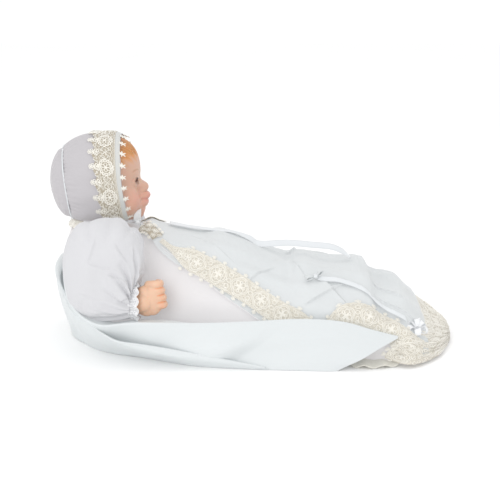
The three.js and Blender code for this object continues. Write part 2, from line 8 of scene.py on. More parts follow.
import bmesh
import bpy
import numpy as np
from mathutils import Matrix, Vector


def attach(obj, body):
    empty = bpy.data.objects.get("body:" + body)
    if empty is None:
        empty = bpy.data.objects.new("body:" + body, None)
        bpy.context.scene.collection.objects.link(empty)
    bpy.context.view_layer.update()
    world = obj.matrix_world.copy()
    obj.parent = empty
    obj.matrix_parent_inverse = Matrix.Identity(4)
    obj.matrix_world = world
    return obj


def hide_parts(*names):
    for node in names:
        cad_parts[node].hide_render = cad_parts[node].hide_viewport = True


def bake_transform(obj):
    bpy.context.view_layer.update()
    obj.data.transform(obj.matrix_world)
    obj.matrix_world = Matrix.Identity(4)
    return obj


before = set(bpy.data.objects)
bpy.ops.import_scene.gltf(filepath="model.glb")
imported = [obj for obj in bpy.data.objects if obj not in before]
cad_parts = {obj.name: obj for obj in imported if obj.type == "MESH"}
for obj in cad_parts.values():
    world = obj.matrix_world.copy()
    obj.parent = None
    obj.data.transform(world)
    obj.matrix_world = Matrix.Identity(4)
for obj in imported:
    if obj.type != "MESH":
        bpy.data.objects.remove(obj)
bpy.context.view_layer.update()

MM = 0.001
SIDES = {"left": 1, "right": -1}


# ---------------------------------------------------------------- curves and surfaces
def smoothstep(low, high, x):
    t = np.clip((np.asarray(x, float) - low) / (high - low), 0, 1)
    return t * t * (3 - 2 * t)


def bump(x, width):
    """A smooth hump: 1 at 0, falling to about a third at the given width."""
    return np.exp(-((np.asarray(x, float) / width) ** 2))


def table(rows):
    """A smooth function through rows of (x, value, value...), held flat beyond the ends."""
    rows = np.array(rows, float)
    xs, ys = rows[:, 0], rows[:, 1:]
    slopes = np.gradient(ys, xs, axis=0)

    def at(x):
        x = np.clip(np.asarray(x, float), xs[0], xs[-1])
        i = np.clip(np.searchsorted(xs, x, side="right") - 1, 0, len(xs) - 2)
        h = (xs[i + 1] - xs[i])[..., None]
        t = (x - xs[i])[..., None] / h
        a, b = ys[i], ys[i + 1]
        da, db = slopes[i] * h, slopes[i + 1] * h
        t2, t3 = t * t, t * t * t
        found = (2 * t3 - 3 * t2 + 1) * a + (t3 - 2 * t2 + t) * da + (3 * t2 - 2 * t3) * b + (t3 - t2) * db
        return found[..., 0] if ys.shape[1] == 1 else found

    return at


def path(points, count):
    """Evenly numbered points on a smooth curve through the given ones."""
    points = np.array(points, float)
    index = np.arange(len(points))
    return table(np.column_stack([index, points]))(np.linspace(0, len(points) - 1, count))


def ripples(u, seed, count=6, low=0.6, high=3.0):
    """A smooth irregular wave over u, within about -1 to 1."""
    r = np.random.default_rng(seed)
    total = 0
    for _ in range(count):
        total = total + np.sin(np.asarray(u) * r.uniform(low, high) * 2 * np.pi + r.uniform(0, 2 * np.pi))
    return total / count * 1.6


def unit(v):
    """Vectors along the last axis, brought to length 1."""
    return v / np.maximum(np.linalg.norm(v, axis=-1, keepdims=True), 1e-9)


def new_piece(name, points, faces, material=None):
    """A smooth-shaded object over points in millimetres."""
    mesh = bpy.data.meshes.new(name)
    mesh.from_pydata((np.asarray(points).reshape(-1, 3) * MM).tolist(), [], np.asarray(faces).tolist())
    mesh.polygons.foreach_set("use_smooth", [True] * len(mesh.polygons))
    if material:
        mesh.materials.append(MATERIALS[material])
    piece = bpy.data.objects.new(name, mesh)
    bpy.context.scene.collection.objects.link(piece)
    return piece


def grid(name, P, closed=False, thickness=0, material=None):
    """A mesh over a grid of points in millimetres, with UVs in millimetres of cloth.

    closed joins the last column to the first."""
    P = np.asarray(P, float)
    nu, nv = P.shape[:2]
    i, j = np.meshgrid(np.arange(nu - 1), np.arange(nv - 1 + int(closed)), indexing="ij")
    corners = ((i, j), (i + 1, j), (i + 1, j + 1), (i, j + 1))
    faces = np.stack([a * nv + b % nv for a, b in corners], -1).reshape(-1, 4)
    piece = new_piece(name, P, faces, material)
    step_u = np.linalg.norm(np.diff(P, axis=0), axis=-1).mean(1)
    step_v = np.linalg.norm(np.diff(P, axis=1, append=P[:, :1] if closed else P[:, -1:]), axis=-1).mean(0)
    u = np.concatenate([[0], np.cumsum(step_u)])
    v = np.concatenate([[0], np.cumsum(step_v)])
    uv = np.stack([np.stack([u[a], v[b]], -1) for a, b in corners], axis=2)
    layer = piece.data.uv_layers.new(name="cloth_mm")
    layer.data.foreach_set("uv", uv.reshape(-1).astype(np.float32))
    piece.data.validate()
    if thickness:
        solid = piece.modifiers.new("cloth", "SOLIDIFY")
        solid.thickness = thickness * MM
        solid.offset = 0
    return piece


def join(name, pieces):
    """One object out of several, keeping their UVs and materials."""
    bpy.ops.object.select_all(action="DESELECT")
    for piece in pieces:
        piece.select_set(True)
    bpy.context.view_layer.objects.active = pieces[0]
    bpy.ops.object.join()
    pieces[0].name = name
    return pieces[0]


# ---------------------------------------------------------------- materials
class Shader:
    """A small helper that adds nodes to a material and links them."""

    def __init__(self, name):
        self.material = bpy.data.materials.new(name)
        self.material.use_nodes = True
        self.tree = self.material.node_tree
        self.surface = self.tree.nodes["Principled BSDF"]
        self.out = self.tree.nodes["Material Output"]

    def node(self, kind, **values):
        made = self.tree.nodes.new(kind)
        for key, value in values.items():
            if key in made.bl_rna.properties:
                setattr(made, key, value)
            else:
                made.inputs[key.replace("_", " ")].default_value = value
        return made

    def link(self, a, b):
        self.tree.links.new(a, b)

    def math(self, operation, a, b=0.0):
        made = self.node("ShaderNodeMath", operation=operation)
        for socket, value in zip(made.inputs, (a, b)):
            if isinstance(value, (int, float)):
                socket.default_value = value
            else:
                self.link(value, socket)
        return made.outputs[0]

    def colour(self, factor, a, b):
        """Colour a where factor is 0 and b where it is 1."""
        made = self.node("ShaderNodeMix", data_type="RGBA")
        self.link(factor, made.inputs["Factor"])
        for socket, value in ((made.inputs["A"], a), (made.inputs["B"], b)):
            if isinstance(value, tuple):
                socket.default_value = (*value, 1)
            else:
                self.link(value, socket)
        return made.outputs["Result"]

    def place(self):
        """Where a point lies on the object, in metres."""
        return self.node("ShaderNodeTexCoord").outputs["Object"]

    def tint(self, factor, light, dark):
        """The surface's colour: light where factor is 0 and dark where it is 1."""
        self.link(self.colour(factor, light, dark), self.surface.inputs["Base Color"])

    def noise(self, coordinates, scale, detail=2.0):
        made = self.node("ShaderNodeTexNoise", Scale=scale, Detail=detail)
        self.link(coordinates, made.inputs["Vector"])
        return made.outputs["Fac"]

    def set(self, **values):
        for key, value in values.items():
            self.surface.inputs[key.replace("_", " ")].default_value = value

    def glow(self, colour, strength):
        """A painted glow: emission that lifts the cloth's shade, standing in for the light that thin white
        cloth passes on from behind.
        """
        self.surface.inputs["Emission Color"].default_value = (*colour, 1)
        self.surface.inputs["Emission Strength"].default_value = strength

    def bump(self, height, strength, distance):
        made = self.node("ShaderNodeBump", Strength=strength, Distance=distance)
        self.link(height, made.inputs["Height"])
        self.link(made.outputs["Normal"], self.surface.inputs["Normal"])


def weave(shader, threads_per_mm):
    """Height of a plain weave, from the cloth's UVs in millimetres."""
    uv = shader.node("ShaderNodeUVMap", uv_map="cloth_mm")
    parts = shader.node("ShaderNodeSeparateXYZ")
    shader.link(uv.outputs["UV"], parts.inputs[0])
    turns = 2 * math.pi * threads_per_mm
    warp = shader.math("SINE", shader.math("MULTIPLY", parts.outputs["X"], turns))
    weft = shader.math("SINE", shader.math("MULTIPLY", parts.outputs["Y"], turns))
    return shader.math("MULTIPLY", warp, weft), uv.outputs["UV"]


def cloth(name, light, dark, threads_per_mm=2.2, roughness=0.85, sheen=0.25, depth=0.12, coat=0.0,
          glow=0.0):
    """Woven cloth: two close tints, a plain weave and fine creasing."""
    shader = Shader(name)
    threads, uv = weave(shader, threads_per_mm)
    place = shader.place()
    blotches = shader.noise(place, 14.0, 3.0)
    shader.tint(shader.math("ADD", blotches, shader.math("MULTIPLY", threads, 0.12)), light, dark)
    slub = shader.noise(uv, 0.35, 4.0)
    creases = shader.noise(place, 60.0, 2.0)
    height = shader.math("MULTIPLY", threads, 0.35)
    height = shader.math("ADD", height, shader.math("MULTIPLY", slub, 0.5))
    height = shader.math("ADD", height, shader.math("MULTIPLY", creases, 1.2))
    shader.bump(height, 0.5, depth * MM)
    shader.set(Roughness=roughness, Sheen_Weight=sheen, Sheen_Roughness=0.4)
    shader.set(Coat_Weight=coat, Coat_Roughness=0.35)
    shader.glow(light, glow)
    return shader.material


def organza():
    """Sheer stiff cloth that lets a little of what is under it show."""
    shader = Shader("organza")
    threads = weave(shader, 2.6)[0]
    place = shader.place()
    shader.tint(shader.noise(place, 18.0, 3.0), (0.637, 0.663, 0.671), (0.602, 0.626, 0.634))
    height = shader.math("ADD", shader.math("MULTIPLY", threads, 0.3), shader.noise(place, 70.0, 2.0))
    shader.bump(height, 0.4, 0.12 * MM)
    shader.set(Alpha=0.86, Roughness=0.6, Sheen_Weight=0.3, Sheen_Roughness=0.3)
    shader.glow((0.97, 1.0, 1.0), 0.06)
    return shader.material


def lace_net(name, light, dark, clear, glow):
    """The lace's ground: a net with small round holes."""
    shader = Shader(name)
    uv = shader.node("ShaderNodeUVMap", uv_map="cloth_mm").outputs["UV"]
    cells = shader.node("ShaderNodeTexVoronoi", feature="DISTANCE_TO_EDGE", Scale=0.9)
    shader.link(uv, cells.inputs["Vector"])
    hole = shader.math("GREATER_THAN", cells.outputs["Distance"], 0.2)
    shader.tint(shader.noise(uv, 0.25, 3.0), light, dark)
    solid = shader.math("SUBTRACT", 1.0, shader.math("MULTIPLY", hole, clear))
    shader.link(solid, shader.surface.inputs["Alpha"])
    shader.bump(cells.outputs["Distance"], 0.5, 0.2 * MM)
    shader.set(Roughness=0.9, Sheen_Weight=0.2)
    shader.glow(light, glow)
    return shader.material


def lace_cord():
    """The thick ivory threads of the lace, with a twist."""
    shader = Shader("lace_cord")
    place = shader.place()
    shader.tint(shader.noise(place, 90.0, 3.0), (0.80, 0.78, 0.725), (0.75, 0.725, 0.655))
    shader.bump(shader.noise(place, 1800.0, 2.0), 0.5, 0.15 * MM)
    shader.set(Roughness=0.85, Sheen_Weight=0.3)
    shader.glow((1.0, 0.98, 0.93), 0.07)
    return shader.material


def hardboard():
    shader = Shader("hardboard")
    fibres = shader.noise(shader.place(), 700.0, 6.0)
    shader.tint(fibres, (0.42, 0.30, 0.18), (0.30, 0.20, 0.11))
    shader.bump(fibres, 0.4, 0.1 * MM)
    shader.set(Roughness=0.8)
    return shader.material


def steel():
    shader = Shader("zinc_steel")
    blotches = shader.noise(shader.place(), 300.0, 4.0)
    shader.tint(blotches, (0.62, 0.62, 0.64), (0.48, 0.48, 0.50))
    shader.bump(blotches, 0.2, 0.05 * MM)
    shader.set(Metallic=1.0, Roughness=0.35)
    return shader.material


def bisque(name, light, dark, paint=False):
    """Tinted unglazed porcelain. With paint, the mesh's colour attribute is laid over it: the face's
    decoration, and on the hands the painted shade of make_hand.
    """
    shader = Shader(name)
    place = shader.place()
    mottle = shader.noise(place, 55.0, 4.0)
    skin = shader.colour(mottle, light, dark)
    if paint:
        painted = shader.node("ShaderNodeAttribute", attribute_name="paint")
        skin = shader.colour(painted.outputs["Alpha"], skin, painted.outputs["Color"])
    shader.link(skin, shader.surface.inputs["Base Color"])
    shader.bump(shader.noise(place, 900.0, 3.0), 0.12, 0.05 * MM)
    shader.set(Roughness=0.46, Specular_IOR_Level=0.45, Coat_Weight=0.12, Coat_Roughness=0.3)
    shader.set(Subsurface_Weight=0.12, Subsurface_Scale=2.0 * MM)
    return shader.material


def glass_eye():
    """The eye's painted colours, slightly streaked, under a clear gloss."""
    shader = Shader("glass_eye")
    painted = shader.node("ShaderNodeAttribute", attribute_name="paint")
    streaks = shader.math("MULTIPLY", shader.noise(shader.place(), 1500.0, 3.0), 0.2)
    shader.tint(streaks, painted.outputs["Color"], (0.05, 0.03, 0.02))
    shader.set(Roughness=0.08, Coat_Weight=1.0, Coat_Roughness=0.02, IOR=1.5)
    return shader.material


def white_paper():
    shader = Shader("white_paper")
    shader.tint(shader.noise(shader.place(), 3.0), (0.97, 0.97, 0.97), (0.95, 0.95, 0.95))
    shader.set(Roughness=1.0, Specular_IOR_Level=0.0)
    return shader.material


# The glow strengths below are painted glow that lifts each cloth's shade; the lining's is the strongest.
MATERIALS = {
    "bonnet": cloth("bonnet_cotton", (0.435, 0.42, 0.435), (0.41, 0.395, 0.41), glow=0.155),
    "gown": cloth("gown_cotton", (0.515, 0.515, 0.53), (0.485, 0.485, 0.50), glow=0.22),
    "lining": cloth("gown_lining", (0.51, 0.50, 0.505), (0.48, 0.47, 0.475), roughness=0.7, glow=0.52),
    "cape": cloth("cape_satin", (0.555, 0.58, 0.587), (0.53, 0.553, 0.56), 3.0, 0.6, 0.12, 0.06, glow=0.22),
    # 'satin' and 'bow' are one satin ribbon in two copies: 'bow' is painted lighter and given a stronger
    # painted glow, to lift the shade on the chin bow and the rosette.
    "satin": cloth(
        "satin_ribbon", (0.57, 0.59, 0.605), (0.535, 0.555, 0.57), 3.5, 0.36, 0.25, 0.04, 0.2, 0.24
    ),
    "bow": cloth("bow_satin_painted_lighter", (0.66, 0.67, 0.68), (0.62, 0.63, 0.645), 3.5, 0.36, 0.25, 0.04, 0.2, 0.26),
    "piping": cloth(
        "bonnet_piping", (0.56, 0.565, 0.55), (0.50, 0.505, 0.49), 3.5, 0.6, 0.2, 0.04, 0.05, 0.08
    ),
    "cream": cloth("hem_facing", (0.66, 0.65, 0.59), (0.62, 0.605, 0.545), 2.5, 0.6, glow=0.12),
    "organza": organza(),
    "net": lace_net("lace_net", (0.63, 0.60, 0.53), (0.565, 0.53, 0.455), 0.5, 0.13),
    # The bonnet lace's and the collar piece's net is tinted dark to paint the shade that shows in the lace's
    # gaps.
    "shade_dark_net": lace_net("shade_dark_lace_net", (0.47, 0.42, 0.335), (0.37, 0.325, 0.25), 0.35, 0.04),
    "cord": lace_cord(),
    "muslin": cloth("muslin", (0.78, 0.72, 0.62), (0.70, 0.64, 0.55), 1.6, 0.95, 0.1, 0.2),
    "filling": cloth("fibre_filling", (0.9, 0.89, 0.86), (0.8, 0.79, 0.76), 0.5, 1.0, 0.4, 0.6),
    "fibre": hardboard(),
    "steel": steel(),
    "bisque": bisque("bisque", (0.72, 0.42, 0.29), (0.67, 0.37, 0.25)),
    "face": bisque("face_bisque", (0.61, 0.385, 0.29), (0.565, 0.345, 0.253), paint=True),
    "hand": bisque("hand_bisque", (0.73, 0.475, 0.335), (0.69, 0.44, 0.30), paint=True),
    "eye": glass_eye(),
    "lash": cloth("lash_hair", (0.09, 0.045, 0.03), (0.05, 0.02, 0.015), 1.0, 0.6),
    "tape": cloth("binding_tape", (0.80, 0.76, 0.68), (0.70, 0.66, 0.58), 1.4, 0.9),
    "cotton_cord": cloth("cotton_cord", (0.88, 0.88, 0.88), (0.80, 0.80, 0.82), 3.0, 0.8),
}


def finish(piece, material):
    """Gives a piece one material in place of any it has."""
    piece.data.materials.clear()
    piece.data.materials.append(MATERIALS[material])


def wear(piece, body, *nodes):
    """Makes a piece ride on a body, and lets it stand for CAD nodes."""
    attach(piece, body)
    if nodes:
        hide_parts(*nodes)


def dress(piece, material, body, *nodes):
    """Gives a piece its material and its body, and lets it stand for CAD nodes."""
    finish(piece, material)
    wear(piece, body, *nodes)


# ---------------------------------------------------------------- camera, light and floor
CAMERA_LENS = 88.6
CAMERA_DISTANCE = 1.6
CAMERA_AIM_Z = 0.114
CAMERA_ELEVATION = math.radians(15)
FLOOR_SIZE = 8
FLOOR_DROP = 0.0002  # keeps the floor clear of the cape's underside
SKY_STRENGTH = 1.04
# Place, size and power of each lamp; both point at the doll's chest.
LAMPS = {
    "studio_key": ((-0.55, -1.5, 0.75), 1.1, 7.5),
    "studio_top": ((0.2, 0.4, 1.6), 0.9, 2.2),
}
LAMP_AIM = Vector((0, 0, 0.1))


def make_camera():
    data = bpy.data.cameras.new("camera")
    data.sensor_width = 36
    data.lens = CAMERA_LENS
    data.clip_start = 0.05
    camera = bpy.data.objects.new("camera", data)
    back, up = math.cos(CAMERA_ELEVATION), math.sin(CAMERA_ELEVATION)
    camera.location = (0, -CAMERA_DISTANCE * back, CAMERA_AIM_Z + CAMERA_DISTANCE * up)
    camera.rotation_euler = (math.radians(90) - CAMERA_ELEVATION, 0, 0)
    bpy.context.scene.collection.objects.link(camera)
    bpy.context.scene.camera = camera


def make_stage():
    bpy.ops.mesh.primitive_plane_add(size=FLOOR_SIZE, location=(0, 0, -FLOOR_DROP))
    floor = bpy.context.object
    floor.name = "floor"
    floor.data.materials.append(white_paper())

    world = bpy.data.worlds.new("studio")
    bpy.context.scene.world = world
    world.use_nodes = True
    sky = world.node_tree.nodes["Background"]
    sky.inputs["Color"].default_value = (1, 1, 1, 1)
    sky.inputs["Strength"].default_value = SKY_STRENGTH
    for name, (place, size, power) in LAMPS.items():
        light = bpy.data.lights.new(name, "AREA")
        light.size = size
        light.energy = power
        lamp = bpy.data.objects.new(name, light)
        lamp.location = place
        lamp.rotation_mode = "QUATERNION"
        lamp.rotation_quaternion = (LAMP_AIM - Vector(place)).to_track_quat("-Z", "Y")
        bpy.context.scene.collection.objects.link(lamp)
    bpy.context.scene.view_settings.view_transform = "Standard"


# ---------------------------------------------------------------- gown
# The gown along its length: x, half width at the floor, height of its top.
GOWN = table([
    (-236, 40, 128), (-231, 47, 144), (-222, 51, 149), (-205, 54, 150), (-186, 57, 149), (-150, 61, 147),
    (-128, 71, 146), (-108, 80, 146), (-50, 96, 137), (0, 103, 126), (60, 106, 105),
    (130, 110, 96), (165, 115, 71), (200, 118, 57), (222, 102, 36), (244, 70, 22),
    (257, 36, 12), (262, 16, 6),
])
ROUNDNESS = 0.8
# x and height of the sheer panel's rumpled top
TOP_LINE = table([
    (-142, 149), (-136, 151.5), (-129, 154), (-118, 150), (-91, 143), (-58, 137.5), (-39, 139), (-21, 133.5),
    (-5, 127), (16, 116), (39, 106.5), (53, 103), (58, 105.6), (71, 106.5), (87, 101), (100, 98), (129, 98),
    (144, 99), (152, 93), (158, 80.5), (167, 75), (182, 74), (197, 69.5), (207, 58), (220, 48), (226, 42),
])
# x and the angle in degrees of the front lace above the gown's side
LACE_ANGLE = table([
    (-142, 79), (-127, 75), (-115, 65), (-100, 58), (-76, 52), (-53, 47), (-30, 41.3), (1, 34.4), (33, 26.4),
    (56, 21.5), (72, 15.5), (90, 13.5), (104, 18), (116, 26), (143, 33), (160, 32), (175, 29), (187, 23),
    (213, 12),
])
WAIST_X = -128
CAPE_THICKNESS = 3
PANEL_LIFT = 2.6  # the sheer panel's height over the skirt
# Folds of the sheer panel: from, to, height and how far each one spreads.
PANEL_FOLDS = [
    ((50, -22, 116), (68, -60, 100), 3.6, 7), ((86, -58, 98), (122, -90, 62), 4.0, 10),
    ((128, -62, 92), (66, -92, 66), 3.0, 9), ((-118, -34, 138), (-52, -58, 120), 2.6, 12),
    ((-70, -20, 138), (-18, -64, 110), 2.0, 14), ((196, -60, 62), (150, -44, 86), 3.4, 9),
    ((212, -88, 40), (160, -72, 76), 2.6, 8), ((66, 60, 100), (50, 22, 116), 3.4, 8),
    ((122, 92, 60), (84, 56, 98), 3.6, 10), ((-30, 66, 108), (-90, 30, 136), 2.4, 12),
    ((150, 40, 88), (196, 64, 60), 3.0, 9), ((30, -50, 108), (-10, -84, 84), 1.8, 14),
]
# The cape's back wall: its foot and its rim as x at distances from the middle, and the rim's height.
BACK_FOOT = ([0, 14, 30, 48, 62, 73, 81, 93], [-233, -228, -220, -209, -198, -184, -169, -138])
BACK_RIM = ([0, 28, 66, 96], [-240, -239, -234, -226])
BACK_HEIGHT = 103


def gown_point(x, phi, offset=0):
    """A point of the gown: phi runs from the left edge (0) over the top to the right edge (pi)."""
    shape = GOWN(x)
    base = (1 - smoothstep(160, 176, x)) * (CAPE_THICKNESS + 0.6)
    c, s = np.cos(phi), np.maximum(np.sin(phi), 0)
    y = (shape[..., 0] + offset) * np.sign(c) * np.abs(c) ** ROUNDNESS
    z = base + (shape[..., 1] + offset - base) * s ** ROUNDNESS
    return np.stack([np.broadcast_to(x, np.shape(y)), y, z], -1)


def lace_angle(x):
    """Angle of the front lace above the gown's edge."""
    return np.radians(LACE_ANGLE(np.asarray(x, float)))


def gown_patch(xs, low, high, across, offset=0.0, relief=None):
    """A grid over the gown, from angle low(x) to high(x), lifted by offset and by a relief in mm."""
    x = np.repeat(np.asarray(xs, float)[:, None], across, 1)
    share = np.linspace(0, 1, across)[None, :]
    phi = low(x) * (1 - share) + high(x) * share
    lift = offset + (relief(x, phi) if relief else 0)
    return gown_point(x, phi, lift)


def skirt_relief(x, phi):
    """Soft long folds of the skirt, strongest along its sides, and the bumps over its hem."""
    down = np.abs(np.cos(phi))
    folds = 1.2 * np.sin(phi * 17 + 1.1 * np.sin(x / 60) + 0.7) * smoothstep(-110, -20, x) * (0.35 + down)
    folds += 0.9 * np.sin(phi * 9 - x / 45)
    return folds * smoothstep(WAIST_X, -90, x)


def top_lift(x, phi):
    """How far the rumpled top of the skirt lies over or under its smooth shape."""
    top = bump(phi - math.pi / 2, 0.8) * smoothstep(226, 216, x)
    return (TOP_LINE(x) - GOWN(x)[..., 1] - PANEL_LIFT) * top


def under_relief(x, phi):
    """The underskirt's own surface, which lies lower where the sheer panel covers it."""
    edge = lace_angle(x)
    cover = smoothstep(-0.10, 0.12, phi - edge) * smoothstep(-0.10, 0.12, math.pi - edge - phi)
    sunk = np.minimum(top_lift(x, phi), 0) - 5.5 * cover
    return skirt_relief(x, phi) + sunk * smoothstep(WAIST_X, -100, x)


def fold_over(P, a, b, height, width):
    """A fold of cloth along the line from a to b: it swells towards the line and drops sharply past it."""
    a, b = np.array(a, float), np.array(b, float)
    along = ((P - a) @ (b - a)) / ((b - a) @ (b - a))
    across = unit(np.cross(b - a, (0.0, -0.6, 0.8)))
    signed = (P - (a + along[..., None] * (b - a))) @ across
    window = smoothstep(-0.12, 0.22, along) * smoothstep(1.12, 0.70, along)
    return height * window * np.exp(-np.maximum(signed, 0) / width) * smoothstep(-0.9, 0.5, signed)


def panel_relief(x, phi):
    """Folds and creases of the sheer front panel."""
    lift = 1.1 * np.sin(phi * 11 + x / 38) * smoothstep(-128, -60, x)
    lift = lift + 0.6 * np.sin(phi * 23 - x / 25 + 1.0)
    top = bump(phi - math.pi / 2, 0.8)
    lift = lift * (1 - 0.7 * top) + top_lift(x, phi)
    P = gown_point(x, phi)
    for a, b, height, width in PANEL_FOLDS:
        lift = lift + fold_over(P, a, b, height, width)
    return lift


def bodice_relief(x, phi):
    """Gathers above the waist, soft creases, and the fuller sides over the shoulder joints."""
    gathers = 0.7 * np.sin(phi * 30) * smoothstep(-160, -130, x)
    return gathers + 0.6 * np.sin(phi * 13 + x / 15) + 1.8 * bump(x + 165, 30) * np.abs(np.cos(phi))


def top_relief(x, phi):
    """The surface of the sheer panel."""
    return skirt_relief(x, phi) + panel_relief(x, phi)


def inside_cape(P):
    """Keeps the back of the gown in front of the cape's back wall."""
    y = np.abs(P[..., 1])
    share = np.clip(P[..., 2] / BACK_HEIGHT, 0, 1)
    wall = np.interp(y, *BACK_FOOT) * (1 - share) + np.interp(y, *BACK_RIM) * share
    P = P.copy()
    P[..., 0] = np.maximum(P[..., 0], wall + 4.0)
    return P


def make_bodice():
    side_gap, columns, rings = 0.12, 60, 12
    front = gown_patch(
        np.linspace(-236, WAIST_X, 44), lambda x: side_gap + 0 * x, lambda x: math.pi - side_gap + 0 * x,
        columns, relief=bodice_relief,
    )
    inward = np.linspace(0, 1, rings)[:, None, None]
    back = front[0] * (1 - inward) + np.array([-238.5, 0, 70.0]) * inward
    wave = 1 + 0.5 * np.sin(np.linspace(0, 40, columns))
    back[..., 0] -= 1.6 * np.sin(math.pi * inward[..., 0]) * wave
    P = inside_cape(np.concatenate([back[::-1][:-1], front]))
    open_neck = np.hypot(P[..., 0] + 186, P[..., 1]) < 24
    P[open_neck & (P[..., 2] > 120)] = np.nan
    bodice = grid_with_holes("bodice", P)
    dress(bodice, "lining", "torso", "gown_bodice")


def make_skirt():
    xs = np.concatenate([np.linspace(WAIST_X, 200, 110), np.linspace(203, 262, 26)])
    P = gown_patch(xs, lambda x: 0 * x, lambda x: math.pi + 0 * x, 130, 0, under_relief)
    skirt = grid("underskirt", P)
    dress(skirt, "lining", "torso", "gown_underskirt")


def make_panel():
    under_lace = 0.16  # the angle by which the panel reaches under its lace
    low = lambda x: lace_angle(x) - under_lace
    high = lambda x: math.pi - lace_angle(x) + under_lace
    P = gown_patch(np.linspace(-142, 222, 300), low, high, 210, PANEL_LIFT, top_relief)
    panel = grid("front_panel", P)
    dress(panel, "organza", "torso", "gown_front_panel")


def grid_with_holes(name, P, **settings):
    """As grid(), without the faces that touch a point that isn't a number."""
    gone = np.isnan(P[..., 0])
    filled = np.where(gone[..., None], 0, P)
    piece = grid(name, filled, **settings)
    editable = bmesh.new()
    editable.from_mesh(piece.data)
    editable.verts.ensure_lookup_table()
    doomed = [editable.verts[k] for k in np.flatnonzero(gone.reshape(-1))]
    bmesh.ops.delete(editable, geom=doomed, context="VERTS")
    editable.to_mesh(piece.data)
    editable.free()
    return piece


# ---------------------------------------------------------------- cape
CAPE_FOOT = [
    (-233, 0), (-228, 14), (-220, 30), (-209, 48), (-198, 62), (-184, 73), (-169, 81), (-138, 93), (-99, 112),
    (-61, 127), (0, 136), (60, 141), (94, 143), (106, 142),
]
CAPE_RIM = [
    (-240, 0, 104), (-239, 28, 103), (-234, 66, 95), (-226, 96, 82), (-211, 118, 65),
    (-183, 129, 53), (-140, 131, 56), (-61, 127, 54), (0, 121, 54), (61, 118, 56), (112, 119, 53),
    (150, 121, 43), (181, 121, 35),
]
# The loose outer layer round the back: its foot on the floor and its open upper edge.
FOLD_FOOT = [
    (-236, 0, 0.8), (-231, 12, 0.8), (-223, 28, 0.8), (-213, 44, 0.8), (-203, 58, 0.8), (-188, 71, 0.8),
    (-169, 82, 0.8), (-138, 94, 0.8), (-99, 113, 0.8), (-61, 128, 0.8), (-20, 134, 0.8), (24, 139, 0.8),
]
FOLD_EDGE = [
    (-251, 0, 99), (-250, 26, 98), (-245, 52, 92), (-232, 84, 80), (-215, 113, 64.5), (-202, 121, 57),
    (-191, 126, 49.5), (-176, 130, 40), (-160, 133.5, 33.5), (-132, 136, 30), (-95, 137, 24),
    (18, 139.5, 2.5),
]


def outward_of(foot):
    """The level direction out of the cape along its foot."""
    return unit(np.cross(np.gradient(foot, axis=0), (0, 0, -1)))


def cape_wall(u, h, foot, rim, out):
    """The cape's outer side: u runs along it from behind the doll, h from the floor (0) to the rim (1)."""
    straight = foot[:, None] * (1 - h[None, :, None]) + rim[:, None] * h[None, :, None]
    u, h = u[:, None], h[None, :]
    arch = np.sin(math.pi * h)
    behind = 1 - smoothstep(0.42, 0.7, u)
    belly = arch * (4.0 + 1.0 * ripples(u, 3, low=1, high=5)) * (1 - behind)
    belly += 3.0 * behind * np.sin(math.pi * h**2)
    at_side = smoothstep(-178, -132, foot[:, :1]) * smoothstep(-25, -70, foot[:, :1])
    belly += 13.0 * at_side * np.sin(math.pi * h**0.8)
    belly += 1.6 * smoothstep(0.5, 0.8, u) * np.sin(2 * math.pi * (h * 1.3 - u * 2.2)) * arch
    return straight + out[:, None] * belly[..., None]


def cape_inside(foot, rim, out):
    """The rolled rim, and the inner side that goes down from it behind the doll's clothes."""
    up = np.array([0, 0, 1.0])
    rows = []
    for turn in np.linspace(0.25, math.pi, 8):
        rows.append(rim - out * 2.0 * (1 - np.cos(turn)) + up * 2.0 * np.sin(turn))
    shelf = 12 + 14 * smoothstep(-70, -125, rim[:, :1]) * smoothstep(-225, -200, rim[:, :1])
    for down in np.linspace(0.06, 1, 16):
        level = rim - out * (4.0 + shelf * smoothstep(0, 0.8, down))
        rows.append(level - up * (3 + 0.45 * rim[:, 2:] * smoothstep(0.6, 1, down)) * down)
    return np.stack(rows, 1)


def cape_outer_fold():
    """The loose layer that wraps round the cape's back, open along its upper edge."""
    count, height = 200, np.linspace(0, 1, 30)[None, :, None]
    foot, edge = path(FOLD_FOOT, count)[:, None], path(FOLD_EDGE, count)[:, None]
    out = outward_of(foot[:, 0])
    along = np.linspace(0, 1, count)[:, None, None]
    loose = smoothstep(1.0, 0.82, along)
    swell = (4.5 * np.sin(math.pi * height**1.5) + 1.2 * np.sin(along * 14 + height * 3)) * loose
    P = foot * (1 - height) + edge * height + out[:, None] * swell
    turn = np.linspace(0.2, 2.8, 12)[None, :, None]
    size = 1.8 + 5.0 * smoothstep(0.24, 0.06, along)
    lip = edge + out[:, None] * size * (np.cos(turn) - 1) + np.array([0, 0, 1]) * size * np.sin(turn)
    fold = np.concatenate([P, lip], axis=1)
    fold[:, :, 1] = np.maximum(fold[:, :, 1], 0)
    return fold


def cape_base(foot):
    """The cape's floor, from behind the doll to its rounded open end in front."""
    count, level = 41, 0.3
    middle = np.linspace(-1, 1, count)
    rows = [(np.full(count, x), y * middle) for x, y, _ in foot]
    for s in np.linspace(0.1, 1, 10):
        rows.append((foot[-1, 0] + 46 * (1 - middle**2) * s, 141.5 * middle * (1 - 0.12 * s)))
    return np.array([np.stack([x, y, np.full(count, level)], -1) for x, y in rows])


